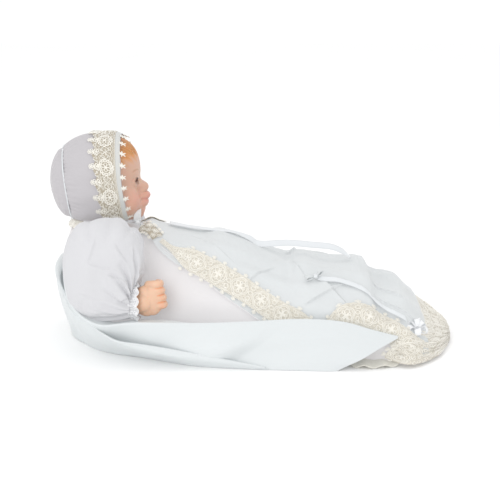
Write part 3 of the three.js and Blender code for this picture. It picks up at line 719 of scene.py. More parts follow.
def make_cape():
    count = 260
    foot = path([(x, y, 0.3) for x, y in CAPE_FOOT], count)
    rim = path(CAPE_RIM, count)
    out = outward_of(foot)
    wall = cape_wall(np.linspace(0, 1, count), np.linspace(0, 1, 64), foot, rim, out)
    left = np.concatenate([wall, cape_inside(foot, rim, out)], axis=1)
    right = (left * np.array([1, -1, 1]))[:, ::-1]
    fold = cape_outer_fold()
    mirrored = fold[::-1] * np.array([1, -1, 1])
    pieces = [
        grid("cape_side_left", left),
        grid("cape_side_right", right),
        grid("cape_fold", np.concatenate([mirrored[:-1], fold]), thickness=0.8),
        grid("cape_base", cape_base(foot)),
    ]
    cape = join("cape_cloth", pieces)
    dress(cape, "cape", "torso", "cape")


# ---------------------------------------------------------------- sleeves
SLEEVE = np.array([-179, 95, 114.0])
SLEEVE_HALF = np.array([49, 32, 62.0])
BOXINESS = 2.7
CUFF = np.array([-143, 103, 76.0])
CUFF_R = 16.5
ARMHOLE = np.array([-176, 62, 106.0])
# Folds of the sleeve: from, to, height and how far each one spreads.
SLEEVE_FOLDS = [
    ((-171, 126, 118), (-150, 126, 107), 4.0, 5), ((-196, 126, 132), (-158, 128, 118), 2.2, 14),
    ((-146, 118, 96), (-164, 122, 84), 4.0, 5), ((-190, 122, 84), (-154, 116, 72), 3.4, 7),
    ((-182, 120, 66), (-152, 114, 64), 3.0, 6), ((-141, 112, 150), (-137, 114, 104), 3.0, 5),
    ((-200, 118, 100), (-170, 124, 86), 2.4, 10), ((-160, 118, 156), (-146, 120, 132), 2.4, 10),
    ((-190, 112, 160), (-196, 124, 130), 1.8, 12), ((-206, 112, 88), (-176, 120, 72), 2.4, 8),
]


def armhole_distance(P):
    """How far each point lies from the armhole's axis."""
    return np.hypot(P[..., 0] - ARMHOLE[0], P[..., 2] - ARMHOLE[2])


def sleeve_relief(P, turn, angle):
    """The puff's folds, and its gathers at the cuff and at the shoulder."""
    wander = 0.5 * ripples(turn / (2 * math.pi), 5, low=1, high=4)
    gathers = np.abs(np.sin(turn * 7 + 4 * wander + np.degrees(angle) / 70)) * 2 - 1.2
    fine = np.sin(turn * 25 + 3 + 2 * wander)
    lift = bump(np.degrees(angle) - 38, 24) * (3.0 * gathers + 1.0 * fine)
    lift = lift + 1.3 * np.sin(turn * 3 + angle * 5) * np.sin(angle)
    lift = lift + 0.8 * np.sin(turn * 5 - angle * 7) * np.sin(angle)
    hole_turn = np.arctan2(P[..., 2] - ARMHOLE[2], P[..., 0] - ARMHOLE[0])
    shoulder = smoothstep(150, 168, P[..., 2]) + bump(armhole_distance(P) - 30, 14) * (P[..., 1] < 84)
    lift = lift + 1.7 * np.clip(shoulder, 0, 1) * (np.abs(np.sin(hole_turn * 8.5)) * 2 - 1)
    for a, b, height, width in SLEEVE_FOLDS:
        lift = lift + fold_over(P, a, b, height, width)
    return lift


def make_sleeve(name, side):
    """A boxy puff between the armhole and the cuff. The left one is set back at its upper front."""
    around, along = 260, 130
    pole = unit((CUFF - SLEEVE) / SLEEVE_HALF)
    p = unit(np.cross((0, 1, 0), pole))
    q = np.cross(pole, p)
    turn = np.linspace(0, 2 * math.pi, around, endpoint=False)[None, :]
    angle = np.radians(np.linspace(180, 24, along))[:, None]
    spread = np.cos(turn)[..., None] * p + np.sin(turn)[..., None] * q
    direction = np.cos(angle)[..., None] * pole + np.sin(angle)[..., None] * spread
    boxy = (np.abs(direction) ** BOXINESS).sum(-1, keepdims=True) ** (-1 / BOXINESS)
    share = smoothstep(58, 24, np.degrees(angle))[..., None]
    away = direction - (direction @ pole)[..., None] * pole
    mouth = CUFF + np.array([-4, 0, 0]) + unit(away * np.array([0, 1, 1])) * (CUFF_R + 1.5)
    P = (SLEEVE + direction * boxy * SLEEVE_HALF) * (1 - share) + mouth * share
    from_hole = armhole_distance(P)
    P = P + unit(direction / SLEEVE_HALF) * sleeve_relief(P, turn, angle)[..., None]
    if side > 0:
        P[..., 0] -= 16 * smoothstep(112, 136, P[..., 2]) * smoothstep(-172, -142, P[..., 0])
    P[(from_hole < 27) & (P[..., 1] < 80)] = np.nan
    return grid_with_holes(name, P * np.array([1, side, 1]), closed=True)


def make_sleeves():
    for suffix, side in SIDES.items():
        sleeve = make_sleeve(f"puff_sleeve_{suffix}", side)
        dress(sleeve, "gown", f"arm_{suffix}", f"sleeve_{suffix}")


# ---------------------------------------------------------------- lace
def circle(cx, cy, rx, ry=None, count=20, start=0.0, turn=2 * math.pi):
    """An arc or ring as a line of (along, across) points."""
    a = start + np.linspace(0, turn, count)
    return np.column_stack([cx + rx * np.cos(a), cy + (rx if ry is None else ry) * np.sin(a)])


def petal(cx, cy, angle, length, width, count=12):
    """A teardrop loop that starts and ends at (cx, cy)."""
    t = np.linspace(0, math.pi, count)
    out, side = length * np.sin(t) * (0.5 + 0.5 * np.sin(t)), width * np.cos(t) * np.sin(t)
    ca, sa = math.cos(angle), math.sin(angle)
    return np.column_stack([cx + out * ca - side * sa, cy + out * sa + side * ca])


def flower(cx, cy, radius, petals, width, start=0.0):
    """Petals round a point."""
    turns = start + np.arange(petals) * 2 * math.pi / petals
    return [petal(cx, cy, a, radius, width) for a in turns]


def petal_ring(cx, cy, rx, ry, loops, loop_radius):
    """A ring of small round loops."""
    turns = np.arange(loops) * 2 * math.pi / loops
    return [circle(cx + rx * math.cos(a), cy + ry * math.sin(a), loop_radius, count=8) for a in turns]


def picot(along, edge, out, size=1.0):
    """A three-loop flower that stands out from the lace's edge."""
    middle = edge + out * 1.5 * size
    facing = math.pi / 2 * out
    loops = [petal(along, middle, facing + turn, 3.6 * size, 2.2 * size, 9) for turn in (-0.9, 0, 0.9)]
    return loops + [circle(along, middle, 0.7 * size, count=6)]


def star_picot(along, edge, out):
    """A thin pointed star that stands out from the lace's edge."""
    middle = edge + out * 3.0
    arms = [petal(along, middle, turn, 4.0, 0.7, 7) for turn in np.arange(5) * 2 * math.pi / 5 + 0.3]
    return arms + [np.array([[along + s * 2.2, edge - out * 0.8], [along, middle]]) for s in (-1, 1)]


def filler(start, end, low, high, pitch, keep_out, seed=1):
    """Small uneven loops that fill a strip of lace, leaving round areas clear."""
    r = np.random.default_rng(seed)
    loops = []
    for row, across in enumerate(np.arange(low + pitch / 2, high, pitch)):
        for along in np.arange(start + (row % 2) * pitch / 2, end, pitch):
            a = along + r.uniform(-0.25, 0.25) * pitch
            b = across + r.uniform(-0.25, 0.25) * pitch
            if any(((a - cx) / rx) ** 2 + ((b - cy) / ry) ** 2 < 1 for cx, cy, rx, ry in keep_out):
                continue
            size = pitch * r.uniform(0.26, 0.4)
            height, start_turn, turn = size * r.uniform(0.7, 1.2), r.uniform(0, 6), r.uniform(4.6, 6.3)
            loops.append(circle(a, b, size, height, 8, start_turn, turn))
    return loops


def cords(name, surface, lines, radius, lift=0.3, middle=(None, 0, 60), material="cord"):
    """Raised threads along lines of (along, across) points laid on a surface.

    They lie on its side away from its middle, whose X is the thread's own where it is None."""
    line_of = np.concatenate([np.full(len(line), k) for k, line in enumerate(lines)])
    flat = np.concatenate(lines)
    P = surface(flat[:, 0], flat[:, 1])
    step = 0.4
    along = surface(flat[:, 0] + step, flat[:, 1]) - P
    across = surface(flat[:, 0], flat[:, 1] + step) - P
    normal = unit(np.cross(along, across))
    core = np.stack([P[:, k] if at is None else np.full(len(P), at) for k, at in enumerate(middle)], 1)
    normal *= np.sign(np.sum(normal * (P - core), axis=1, keepdims=True))
    vertices, faces, total = [], [], 0
    ends = np.flatnonzero(np.diff(line_of)) + 1
    for points, up in zip(np.split(P, ends), np.split(normal, ends)):
        side = unit(np.cross(np.gradient(points, axis=0), up)) * radius
        base = points + up * lift
        vertices.append(np.stack([base - side, base + up * radius * 1.1, base + side], 1).reshape(-1, 3))
        i = np.arange(len(points) - 1)[:, None] * 3 + np.arange(2)[None, :] + total
        faces.append(np.stack([i, i + 3, i + 4, i + 1], -1).reshape(-1, 4))
        total += len(points) * 3
    return new_piece(name, np.concatenate(vertices), np.concatenate(faces), material)


def strip(name, surface, start, end, low, high, along_step=1.5, across_step=1.5, material="net"):
    """A flat strip of cloth on a surface, between two edges given as numbers or functions of along."""
    along = np.linspace(start, end, max(3, int((end - start) / along_step)))
    edge = lambda value: value(along) if callable(value) else np.full(len(along), float(value))
    count = max(3, int((np.max(edge(high)) - np.min(edge(low))) / across_step))
    share = np.linspace(0, 1, count)[None, :]
    across = edge(low)[:, None] * (1 - share) + edge(high)[:, None] * share
    a = np.repeat(along[:, None], count, 1)
    return grid(name, surface(a.ravel(), across.ravel()).reshape(len(along), count, 3), material=material)


# ---------------------------------------------------------------- bonnet
BONNET = np.array([-197, 0, 212.0])
BONNET_HALF = np.array([57, 52, 56.5])
BONNET_HEM_Z = 159.5
FACE_EDGE_X = -161
FACE_LEAN = 0.119
SEAM = 71  # the crown's seam, behind the face edge


def bonnet_shell(theta, a):
    """A point of the bonnet: theta from the face (0) to the back (pi), a round its middle, 0 at the top."""
    vx, vy, vz = np.cos(theta), np.sin(theta) * np.sin(a), np.sin(theta) * np.cos(a)
    flat = np.maximum(np.hypot(vx, vy), 0.02)
    low = vz < 0
    full = np.where(low, flat**-0.5, 1)
    front = np.clip(vx, 0, 0.8)
    wide = (1 - front**2) ** -0.3
    deep = np.where((vx > 0) & low, 1 - 0.25 * vz, 1)
    return np.stack([vx * full * deep, vy * full * wide, vz], -1) * BONNET_HALF + BONNET


def behind_face(P):
    """How far a point lies behind the bonnet's leaning face edge."""
    return FACE_EDGE_X - FACE_LEAN * (P[..., 2] - 212) - P[..., 0]


THETAS = np.linspace(0.35, math.pi, 260)


def bonnet_point(d, a, lift=0.0):
    """The bonnet's surface at a distance d behind its face edge and an angle a round it."""
    d, a = np.broadcast_arrays(np.asarray(d, float), np.asarray(a, float))
    shape = d.shape
    beyond = np.minimum(d, 1)[..., None] - 1
    if np.any(beyond < 0):
        lip = bonnet_point(np.maximum(d, 1), a, lift)
        inner = bonnet_point(np.maximum(d, 1) + 3, a, lift)
        return lip + (lip - inner) / 3 * -beyond * 0.9
    d, a = d.ravel(), a.ravel()
    curves = bonnet_shell(THETAS[None, :], a[:, None])
    depth = behind_face(curves)
    k = np.clip((depth < d[:, None]).sum(1), 1, len(THETAS) - 1)
    row = np.arange(len(d))
    d0, d1 = depth[row, k - 1], depth[row, k]
    t = np.clip((d - d0) / np.maximum(d1 - d0, 1e-6), -2, 1)[:, None]
    P = curves[row, k - 1] * (1 - t) + curves[row, k] * t
    out = unit((P - BONNET) / BONNET_HALF**2)
    brim = smoothstep(24, 0, d) * (1.6 + 4.6 * smoothstep(-0.1, 0.9, np.cos(a)))
    P = P + out * (brim + np.broadcast_to(lift, shape).ravel())[:, None]
    P[:, 0] += 0.4 * smoothstep(40, 0, d)
    return P.reshape(*shape, 3)


def hem_angle(d):
    """The angle at which the bonnet's surface comes down to its hem."""
    angles = np.linspace(1.6, 3.05, 60)
    z = bonnet_point(np.asarray(d, float)[:, None], angles[None, :])[..., 2]
    return np.array([np.interp(-BONNET_HEM_Z, -row, angles) for row in z])


ARC_ANGLES = np.linspace(-math.pi, math.pi, 400)
ARC = np.concatenate([[0], np.cumsum(np.linalg.norm(np.diff(bonnet_point(18, ARC_ANGLES), axis=0), axis=1))])
ARC -= np.interp(0, ARC_ANGLES, ARC)


def bonnet_lace_surface(lift):
    """Maps (millimetres round the bonnet from its top, millimetres behind the face edge) onto it."""
    return lambda along, d: bonnet_point(d, np.interp(along, ARC, ARC_ANGLES), lift)


BONNET_ROUND = 200  # points round the bonnet
BACK_MIDDLE = np.array([-250.5, 0, 196.0])
BACK_HALF_WIDTH = 50


def make_bonnet_side():
    """The side panel, gathered into the seam."""
    ds = np.linspace(-0.5, SEAM + 1.2, 90)
    a = hem_angle(np.clip(ds, 2, SEAM))[:, None] * np.linspace(-1, 1, BONNET_ROUND)[None, :]
    d = np.repeat(ds[:, None], BONNET_ROUND, 1)
    gathers = 0.5 * np.sin(a * 46 + 2 * np.sin(a * 5)) * smoothstep(45, SEAM, d)
    broad = 0.5 * np.sin(a * 11 + d / 14) + 0.6 * np.sin(a * 5 - d / 19 + 1)
    tuck = -0.9 * bump(d - SEAM, 3.0)
    side = grid("bonnet_side", bonnet_point(d, a, gathers + broad + tuck - 0.4))
    dress(side, "bonnet", "head", "bonnet_brim")


def make_bonnet_back(seam_turn):
    """The rounded back panel inside its seam, closed along the nape."""
    over, under = 160, 40
    ring = bonnet_point(SEAM + 0.6, seam_turn * np.linspace(-1, 1, over), -1.3)
    nape_share = np.linspace(0, 1, under)[1:, None]
    ring = np.concatenate([ring, ring[-1] * (1 - nape_share) + ring[0] * nape_share])
    t = np.linspace(0, 1, 60)[:, None]
    back = ring * (1 - t[..., None]) + BACK_MIDDLE * t[..., None]
    x, y, z = back[..., 0], back[..., 1] / BACK_HALF_WIDTH, (back[..., 2] - BONNET[2]) / BONNET_HALF[2]
    span = np.where(z < 0, np.sqrt(np.clip(1 - z**2, 0, 1)), 1 - z**2)
    bulge = BONNET[0] - BONNET_HALF[0] * np.sqrt(np.clip(span - y**2, 0, 1))
    edge = smoothstep(0, 0.10, t)
    turn = np.concatenate([np.linspace(-1, 1, over), np.linspace(1, -1, under)[1:]])[None, :] * seam_turn
    folds = 0.7 * np.sin(turn * 22) * (1 - t) ** 2 + 0.9 * np.sin(turn * 6 + 1) * t
    back[..., 0] = np.minimum(x, bulge) * edge + x * (1 - edge) - (folds + 0.8) * edge
    crown = grid("bonnet_back", back)
    dress(crown, "bonnet", "head", "bonnet_crown")


def make_bonnet():
    make_bonnet_side()
    seam_turn = hem_angle(np.array([SEAM + 0.6]))[0]
    make_bonnet_back(seam_turn)
    angles = seam_turn * np.linspace(-1, 1, 150)
    seam_line = np.column_stack([np.interp(angles, ARC_ANGLES, ARC), np.full(150, SEAM + 0.3)])
    surface = bonnet_lace_surface(-1.0)
    seam = cords("bonnet_seam", surface, [seam_line], 1.0, middle=BONNET, material="satin")
    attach(seam, "head")
    reach = np.interp(hem_angle(np.array([5.0]))[0], ARC_ANGLES, ARC)
    band = strip("bonnet_satin", bonnet_lace_surface(0.9), -reach, reach, 0.6, 6.6, material="piping")
    wear(band, "head", "bonnet_band")
    make_bonnet_lace(reach)
    make_nape_frill()
    make_chin_bow()


MEDALLION_D = 16  # the medallions' distance behind the face edge
MEDALLION_PITCH = 38
SCALLOP_PITCH = 19
LACE_DEPTH = 28.0


def make_bonnet_lace(reach):
    """Net with corded oval medallions, scalloped behind and edged with picot flowers."""
    scallop = lambda along: LACE_DEPTH + 3.0 * np.abs(np.sin(along * math.pi / SCALLOP_PITCH)) ** 1.5
    net = strip(
        "bonnet_lace_net", bonnet_lace_surface(1.1), -reach, reach, 5.4, scallop, 1.0, 1.3, "shade_dark_net"
    )
    bold, fine, keep_out, d = [], [], [], MEDALLION_D
    for c in [side * (26 + MEDALLION_PITCH * k) for side in (-1, 1) for k in range(4)]:
        bold += [circle(c, d, 9.6, 7.6, 30)] + petal_ring(c, d, 9.0, 7.0, 14, 1.5) + flower(c, d, 5.6, 6, 3.2)
        fine += [circle(c, d, 1.3, count=8), circle(c, d, 7.4, 5.4, 24)]
        for tip in (d - 4.5, d + 4.5):
            bold += [np.array([[c + s * 10, d], [c + s * 14.5, tip], [c + s * 19, d]]) for s in (-1, 1)]
        keep_out.append((c, d, 11.6, 9.6))
    for c in np.arange(-reach + 4, reach, SCALLOP_PITCH):
        bold += flower(c + 7, 25.5, 4.2, 6, 2.2, 0.3)
        bold += [petal(c + 7, 28.5, math.pi / 2 + turn, 4.8, 2.2) for turn in (-0.8, 0, 0.8)]
        bold += [np.column_stack([[c - 2, c + 2, c + 7, c + 12, c + 16], [29.5, 24.5, 31, 24.5, 29.5]])]
        keep_out.append((c + 7, 25.5, 4.6, 4.6))
    edge_points = np.arange(-reach, reach, 1.2)
    for d, swing, wave in ((6.0, 0.3, 2.0), (7.4, 0.5, 3.0), (9.4, 0.7, 4.5)):
        fine += [np.column_stack([edge_points, d + swing * np.sin(edge_points * wave)])]
    fine += filler(-reach, reach, 10, LACE_DEPTH, 3.6, keep_out)
    threads = cords("bonnet_lace_cord", bonnet_lace_surface(1.2), bold, 0.47, middle=BONNET)
    ground = cords("bonnet_lace_ground", bonnet_lace_surface(1.1), fine, 0.33, middle=BONNET)
    edge_flowers = []
    for c in np.arange(-reach + 9, reach - 2, 16.5):
        if abs(c) > 9:  # none over the brow, where the edge stands free
            edge_flowers += star_picot(c, 0.5, -1)
    for c in np.arange(-reach + 2, reach, SCALLOP_PITCH):
        edge_flowers += picot(c + 9, 31.4, 1, 0.9)
    edging = cords("bonnet_picots", bonnet_lace_surface(0.9), edge_flowers, 0.48, middle=BONNET)
    lace = join("bonnet_lace_strip", [net, threads, ground, edging])
    wear(lace, "head", "bonnet_lace")


def frill_surface(centre, inner, outer, drop, waves, depth, lean=0.0, squash=1.0):
    """A frill about a vertical axis: along is the angle times 30, across runs outwards from 0 to 1."""
    def at(along, across):
        a = along / 30
        r = inner + (outer - inner) * across
        z = across * (drop + depth * np.sin(a * waves + 0.6 * np.sin(a * 3)))
        x = centre[0] + r * np.cos(a)
        y = centre[1] + r * squash * np.sin(a)
        return np.stack([x, y, centre[2] + z - lean * (x - centre[0])], -1)
    return at


def make_nape_frill():
    """The lace frill that shows under the back of the bonnet."""
    start, end = math.radians(115) * 30, math.radians(245) * 30
    surface = frill_surface((-200, 0, 160), 27, 34, -11, 22, 1.4, squash=0.95)
    net = strip("nape_net", surface, start, end, 0, 1, 0.8, 0.12)
    shrink = np.array([1, 1 / 12])
    lines = []
    for along in np.arange(start + 1, end, 3.0):
        lines += [loop * shrink for loop in flower(along, 9.2, 2.4, 5, 1.6)]
        lines += [circle(along, 4.5, 1.1, 2.2, 8) * shrink]
    threads = cords("nape_cords", surface, lines, 0.5)
    frill = join("nape_frill", [net, threads])
    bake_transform(frill)
    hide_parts("bonnet_ruffle")


def ribbon(name, line, width, material="satin", bend=0.0):
    """A ribbon along a line of points, with a vector across it, or one for each point, and a slight crown."""
    centre = np.asarray(line, float)
    width = np.broadcast_to(np.asarray(width, float), centre.shape)
    across = np.linspace(-0.5, 0.5, 7)[None, :, None]
    up = unit(np.cross(np.gradient(centre, axis=0), width))
    P = centre[:, None] + width[:, None] * across + up[:, None] * bend * (1 - 4 * across**2)
    return grid(name, P, thickness=0.25, material=material)


def ring_line(centre, first, second, count):
    """A closed line round a centre, with its two half axes."""
    a = np.linspace(0, 2 * math.pi, count)[:, None]
    return np.asarray(centre) + np.cos(a) * np.array(first) + np.sin(a) * np.array(second)


def loop_of(centre, reach, height, direction, width, twist):
    """A bow's loop: out from the centre and back, with the ribbon's width across it."""
    up = np.array([0, 0, 1.0])
    direction = unit(np.array(direction, float))
    across = unit(np.cross(direction, up)) * np.cos(twist) + up * np.sin(twist)
    t = np.linspace(0, 2 * math.pi, 26)[:, None]
    away = (1 - np.cos(t)) / 2
    line = np.array(centre) + reach * away * direction + height * np.sin(t) * away * up
    return line, across * width * (0.45 + 0.55 * away)


def make_chin_bow():
    """Bow of the bonnet's ties under the jaw: a standing loop on the near side and a flat one beyond it."""
    knot_at = np.array([-144.0, -11, 154.5])
    near = [
        (0, 0, 0), (-0.6, -7, 5), (0.2, -10.5, 12), (0.8, -9.5, 17.4), (1.2, -5.5, 17.0), (0.6, -1, 9),
        (0, 0, 1),
    ]
    far = [(0, 2, 0), (-2, 12, 2.5), (-3, 20, 3.5), (-3, 20, 0.5), (-1, 10, -1), (0, 1, -0.5)]
    loops = []
    for name, offsets, across in (("near", near, (8.2, -1.0, 2.2)), ("far", far, (7.5, 0, 1.0))):
        loops.append(ribbon(f"bow_loop_{name}", path(knot_at + offsets, 30), across, "bow", bend=0.8))
    for side in (-1, 1):
        tail = path(knot_at + [(0, 0, 0), (4, 4 * side, -1.6), (8, 7 * side, -1.4)], 14)
        loops.append(ribbon(f"bow_tail_{side}", tail, (4.5, 4.0 * side, -1.0), "bow", bend=0.4))
    knot = ring_line(knot_at, (0, 3.4, 0), (0, 0, 3.2), 14)
    loops.append(ribbon("bow_knot", knot, (5.5, 0, 0), "bow", bend=0.8))
    bow = join("chin_bow_ribbon", loops)
    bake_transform(bow)
    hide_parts("chin_bow")
    for suffix, side in SIDES.items():
        points = [(-158, 34 * side, 161), (-154, 24 * side, 156.4), (-149, 10 * side - 4, 153.4), knot_at]
        tie = ribbon(f"tie_ribbon_{suffix}", path(points, 24), (5.5, 5.5 * side, 0), bend=0.4)
        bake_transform(tie)
        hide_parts(f"bonnet_tie_{suffix}")


# ---------------------------------------------------------------- head
# Height and depth of the face along its middle, and how far to each side that outline reaches.
FACE_PROFILE = table([
    (150, -150), (156.8, -143.8), (158.8, -141.2), (163.4, -137.8), (166, -136.9), (170, -135.4),
    (174, -134.0), (177, -132.0), (180, -131.2), (182, -132.0), (184, -132.6), (186, -130.4),
    (188, -129.4), (191, -131.9), (194.4, -133.0), (196.5, -131.6), (198.6, -131.0), (201, -132.2),
    (204, -137.2), (208, -140.4), (212, -141.4), (220, -141.2), (230, -141.8), (240.5, -144.8),
    (249.6, -150.3), (258.6, -160), (268, -178),
])
FACE_REACH = table([
    (150, 30), (158, 20), (165, 15), (172, 13), (178, 11), (188, 9), (193, 7.2), (198, 7.5), (202, 12),
    (206, 21), (212, 26), (220, 33), (230, 38), (260, 44),
])
EYE_CENTRE = np.array([-156.4, 14.6, 208.0])
EYE_HALF = np.array([10.3, 10.6, 10.6])
EYE_WIDTH = 6.8
EYE_R = 9.0
HAIR = (0.62, 0.27, 0.07)
LIPS = (0.62, 0.25, 0.22)
BLUSH = (0.70, 0.24, 0.19)
LASH = (0.10, 0.045, 0.03)
DARKER_NEAR_BONNET = (0.30, 0.11, 0.03)
MOUTH_LINE = (0.28, 0.05, 0.05)
BROW = (0.33, 0.14, 0.06)
EYE_WHITE = np.array([0.85, 0.84, 0.82])
IRIS = np.array([0.16, 0.085, 0.04])
PUPIL = 0.005


# Soft mounds and hollows on each half of the face: how far out, where, how stretched and how wide.
FEATURES = [
    (2.6, (5.4, 195.6), (1, 1), 2.9),  # nostril wing
    (-2.0, (3.2, 192.6), (1, 1 / 1.3), 1.5),  # nostril
    (1.2, (4.0, 187.6), (1.6, 1), 2.2),  # upper lip
    (-1.8, (10.2, 183.6), (1, 1), 2.4),  # mouth corner
    (-1.8, (12, 193), (1.4, 1.6), 5.0),  # beside the nose
    (1.0, (17, 219), (1.7, 1), 5.0),  # brow
    (-2.6, (7.5, 207), (0.9, 1.2), 3.8),  # inner corner of the eye
]


def ellipsoid_distance(P, centre, half):
    """About how far a point lies outside an ellipsoid."""
    q = (P - np.array(centre, float)) / np.array(half, float)
    length = np.linalg.norm(q, axis=-1)
    return (length - 1) * np.min(half)


def soft_min(a, b, k):
    """The smaller of two values, blended where they differ by less than k."""
    h = np.clip(0.5 + 0.5 * (b - a) / k, 0, 1)
    return b * (1 - h) + a * h - k * h * (1 - h)


def skull(P):
    """Signed distance to the head without its features."""
    d = ellipsoid_distance(P, (-195, 0, 213), (50.5, 45.5, 50.5))
    d = soft_min(d, ellipsoid_distance(P, (-180, 0, 222), (39, 39, 38)), 8)
    d = soft_min(d, ellipsoid_distance(P, (-172, 0, 186), (33, 35, 29)), 9)
    for side in (-1, 1):
        d = soft_min(d, ellipsoid_distance(P, (-163, 20 * side, 184), (21, 18, 19)), 7)
    return d


def head_grid():
    """Points over the head in rings about a line from its middle to the face."""
    centre = np.array([-185, 0, 200.0])
    theta = math.pi * np.linspace(0.004, 1, 300) ** 1.35
    phi = np.linspace(0, 2 * math.pi, 300, endpoint=False)
    t, f = np.meshgrid(theta, phi, indexing="ij")
    rays = np.stack([np.cos(t), np.sin(t) * np.sin(f), np.sin(t) * np.cos(f)], -1)
    near, far = np.zeros(t.shape), np.full(t.shape, 90.0)
    for _ in range(22):
        middle = (near + far) / 2
        inside = skull(centre + rays * middle[..., None]) < 0
        near, far = np.where(inside, middle, near), np.where(inside, far, middle)
    return centre + rays * near[..., None]


def shape_face(P):
    """Pushes the middle of the face out to its profile and adds nose, mouth, lids and cheeks."""
    front = smoothstep(-168, -154, P[..., 0])
    top, bottom = P[:, 0], P[:, 150]
    line = np.concatenate([bottom[bottom[:, 0] > -175][::-1], top[top[:, 0] > -175]])
    line = line[np.argsort(line[:, 2])]
    base_x = np.interp(P[..., 2], line[:, 2], line[:, 0])
    y, z = P[..., 1], P[..., 2]
    push = (FACE_PROFILE(z) - base_x) * np.exp(-(np.abs(y / FACE_REACH(z)) ** 2.2))
    x = P[..., 0] + (push - 1.9) * front
    for side in (-1, 1):
        for push_out, (s, h), (stretch_s, stretch_h), width in FEATURES:
            away = np.hypot((y * side - s) / stretch_s, (z - h) / stretch_h)
            x = x + push_out * bump(away, width) * front
    x = x - 1.1 * bump(z - 183.8 - 0.012 * y**2, 0.9) * bump(y, 9) * front  # mouth line
    x = x - 1.0 * bump(z - 173.0, 2.4) * bump(y, 8) * front  # under the lower lip
    x = x - 0.7 * bump(y, 1.6) * bump(z - 190.6, 2.4) * front  # groove over the upper lip
    P = P.copy()
    P[..., 0] = x
    return P


def eye_opening(P):
    """How far inside the eyes' almond openings each point is: above 0 inside, and its height."""
    s = np.abs(P[..., 1]) - EYE_CENTRE[1]
    h = P[..., 2] - EYE_CENTRE[2] - 0.10 * s
    lid = np.clip(1 - (s / EYE_WIDTH) ** 2, 0, 1)
    upper, lower = 4.3 * lid, -3.3 * lid
    inside = np.minimum(upper - h, h - lower)
    outside = -np.hypot(np.abs(s) - EYE_WIDTH, h) - 0.01
    return np.where(np.abs(s) < EYE_WIDTH, inside, outside), s, h


def shape_eyes(P):
    """Raises the lids over the eyes, and sinks the skin inside the openings behind them."""
    opening, s, h = eye_opening(P)
    front = smoothstep(-168, -156, P[..., 0])
    aside = (np.abs(P[..., 1]) - EYE_CENTRE[1]) / EYE_HALF[1]
    above = (P[..., 2] - EYE_CENTRE[2]) / EYE_HALF[2]
    r2 = 1 - aside**2 - above**2
    ball_x = EYE_CENTRE[0] + EYE_HALF[0] * np.sqrt(np.maximum(r2, 0))
    lid_x = np.where(r2 > 0, ball_x + 0.9, -1000)
    around = smoothstep(10.0, 7.0, np.hypot(s, h * 1.3))
    x = P[..., 0]
    covered = -soft_min(-x, -lid_x, 2.0)
    x = x * (1 - around) + covered * around
    x = x - 0.4 * bump(h - 5.8 + 0.05 * s**2, 1.1) * smoothstep(11, 6, np.abs(s)) * front  # lid crease
    hollow = smoothstep(-0.3, 0.5, opening)
    x = x * (1 - hollow * front) + (ball_x - 3.0) * hollow * front
    P = P.copy()
    P[..., 0] = x
    return P


def face_paint(P):
    """Colour and strength of the painted decoration at each point."""
    x, y, z = P[..., 0], P[..., 1], P[..., 2]
    s = np.abs(y)
    front = smoothstep(-165, -150, x)
    colour = np.zeros(P.shape[:-1] + (3,))
    strength = np.zeros(P.shape[:-1])

    def lay(tint, amount):
        """Lays a tint over what is there already."""
        nonlocal colour, strength
        amount = np.clip(amount, 0, 1)
        total = strength + amount * (1 - strength)
        weight = np.where(total > 1e-6, amount / np.maximum(total, 1e-6), 0)[..., None]
        colour = colour * (1 - weight) + np.array(tint) * weight
        strength = total

    lay(BLUSH, 0.30 * bump(np.hypot(s - 25, (z - 186) * 1.1), 13) * front)
    lay(BLUSH, 0.28 * bump(np.hypot(y / 1.9, z - 183), 9) * front)
    lay(BLUSH, 0.3 * bump(np.hypot(y, z - 166), 9) * front)
    lay(BLUSH, 0.12 * bump(np.hypot(y, z - 198), 5) * front)
    streak = 0.5 + 0.5 * np.sin(np.arctan2(y, z - 200) * 90 + 3 * np.sin(x / 7))
    edge = z + 0.25 * (-150 - x) + 2.5 * np.sin(np.arctan2(y, z - 200) * 31)
    lay(HAIR, smoothstep(229, 246, edge) * (0.82 + 0.18 * streak))
    # Darker streaks over the hair, growing stronger towards the bonnet's edge.
    lay(DARKER_NEAR_BONNET, 0.55 * smoothstep(236, 252, edge) * streak)
    lip_width = 9.6
    upper = 184 + (6.4 - 1.4 * bump(y, 2.2)) * np.clip(1 - (s / lip_width) ** 1.7, 0, 1)
    lower = 184 - 6.2 * np.clip(1 - (s / (lip_width - 1)) ** 2, 0, 1)
    lay(LIPS, 0.44 * smoothstep(-0.5, 0.9, np.minimum(upper - z, z - lower)) * (s < lip_width) * front)
    lay(MOUTH_LINE, 0.6 * bump(z - 183.8 - 0.012 * y**2, 0.7) * smoothstep(11, 9, s) * front)
    brow = z - 222.5 - 0.35 * (s - 12) + 0.035 * (s - 12) ** 2
    hairs = 0.6 + 0.4 * np.sin(s * 5.5 + z * 2)
    brow_length = smoothstep(9.5, 12, s) * smoothstep(26, 21, s)
    lay(BROW, 0.7 * bump(brow, 1.0) * brow_length * hairs * front)
    opening, es, h = eye_opening(P)
    rim = bump(opening + 0.3, 0.55) * (np.abs(es) < EYE_WIDTH)
    lay(LASH, np.where(h > -0.5, 0.95, 0.45) * rim * front)
    rays = 0.5 + 0.5 * np.sin(np.arctan2(h + 2, es) * 34)
    lay(LASH, 0.35 * rays * (opening < -0.5) * smoothstep(-2.2, -0.6, opening) * (h > 1.2) * front)
    lay(LIPS, 0.4 * bump(np.hypot(s - 3.2, z - 192.8), 1.2) * front)
    return np.concatenate([colour, strength[..., None]], -1)


def paint_onto(piece, colours):
    """Stores a colour and a strength at each of a piece's points."""
    layer = piece.data.color_attributes.new("paint", "FLOAT_COLOR", "POINT")
    layer.data.foreach_set("color", colours.reshape(-1).astype(np.float32))


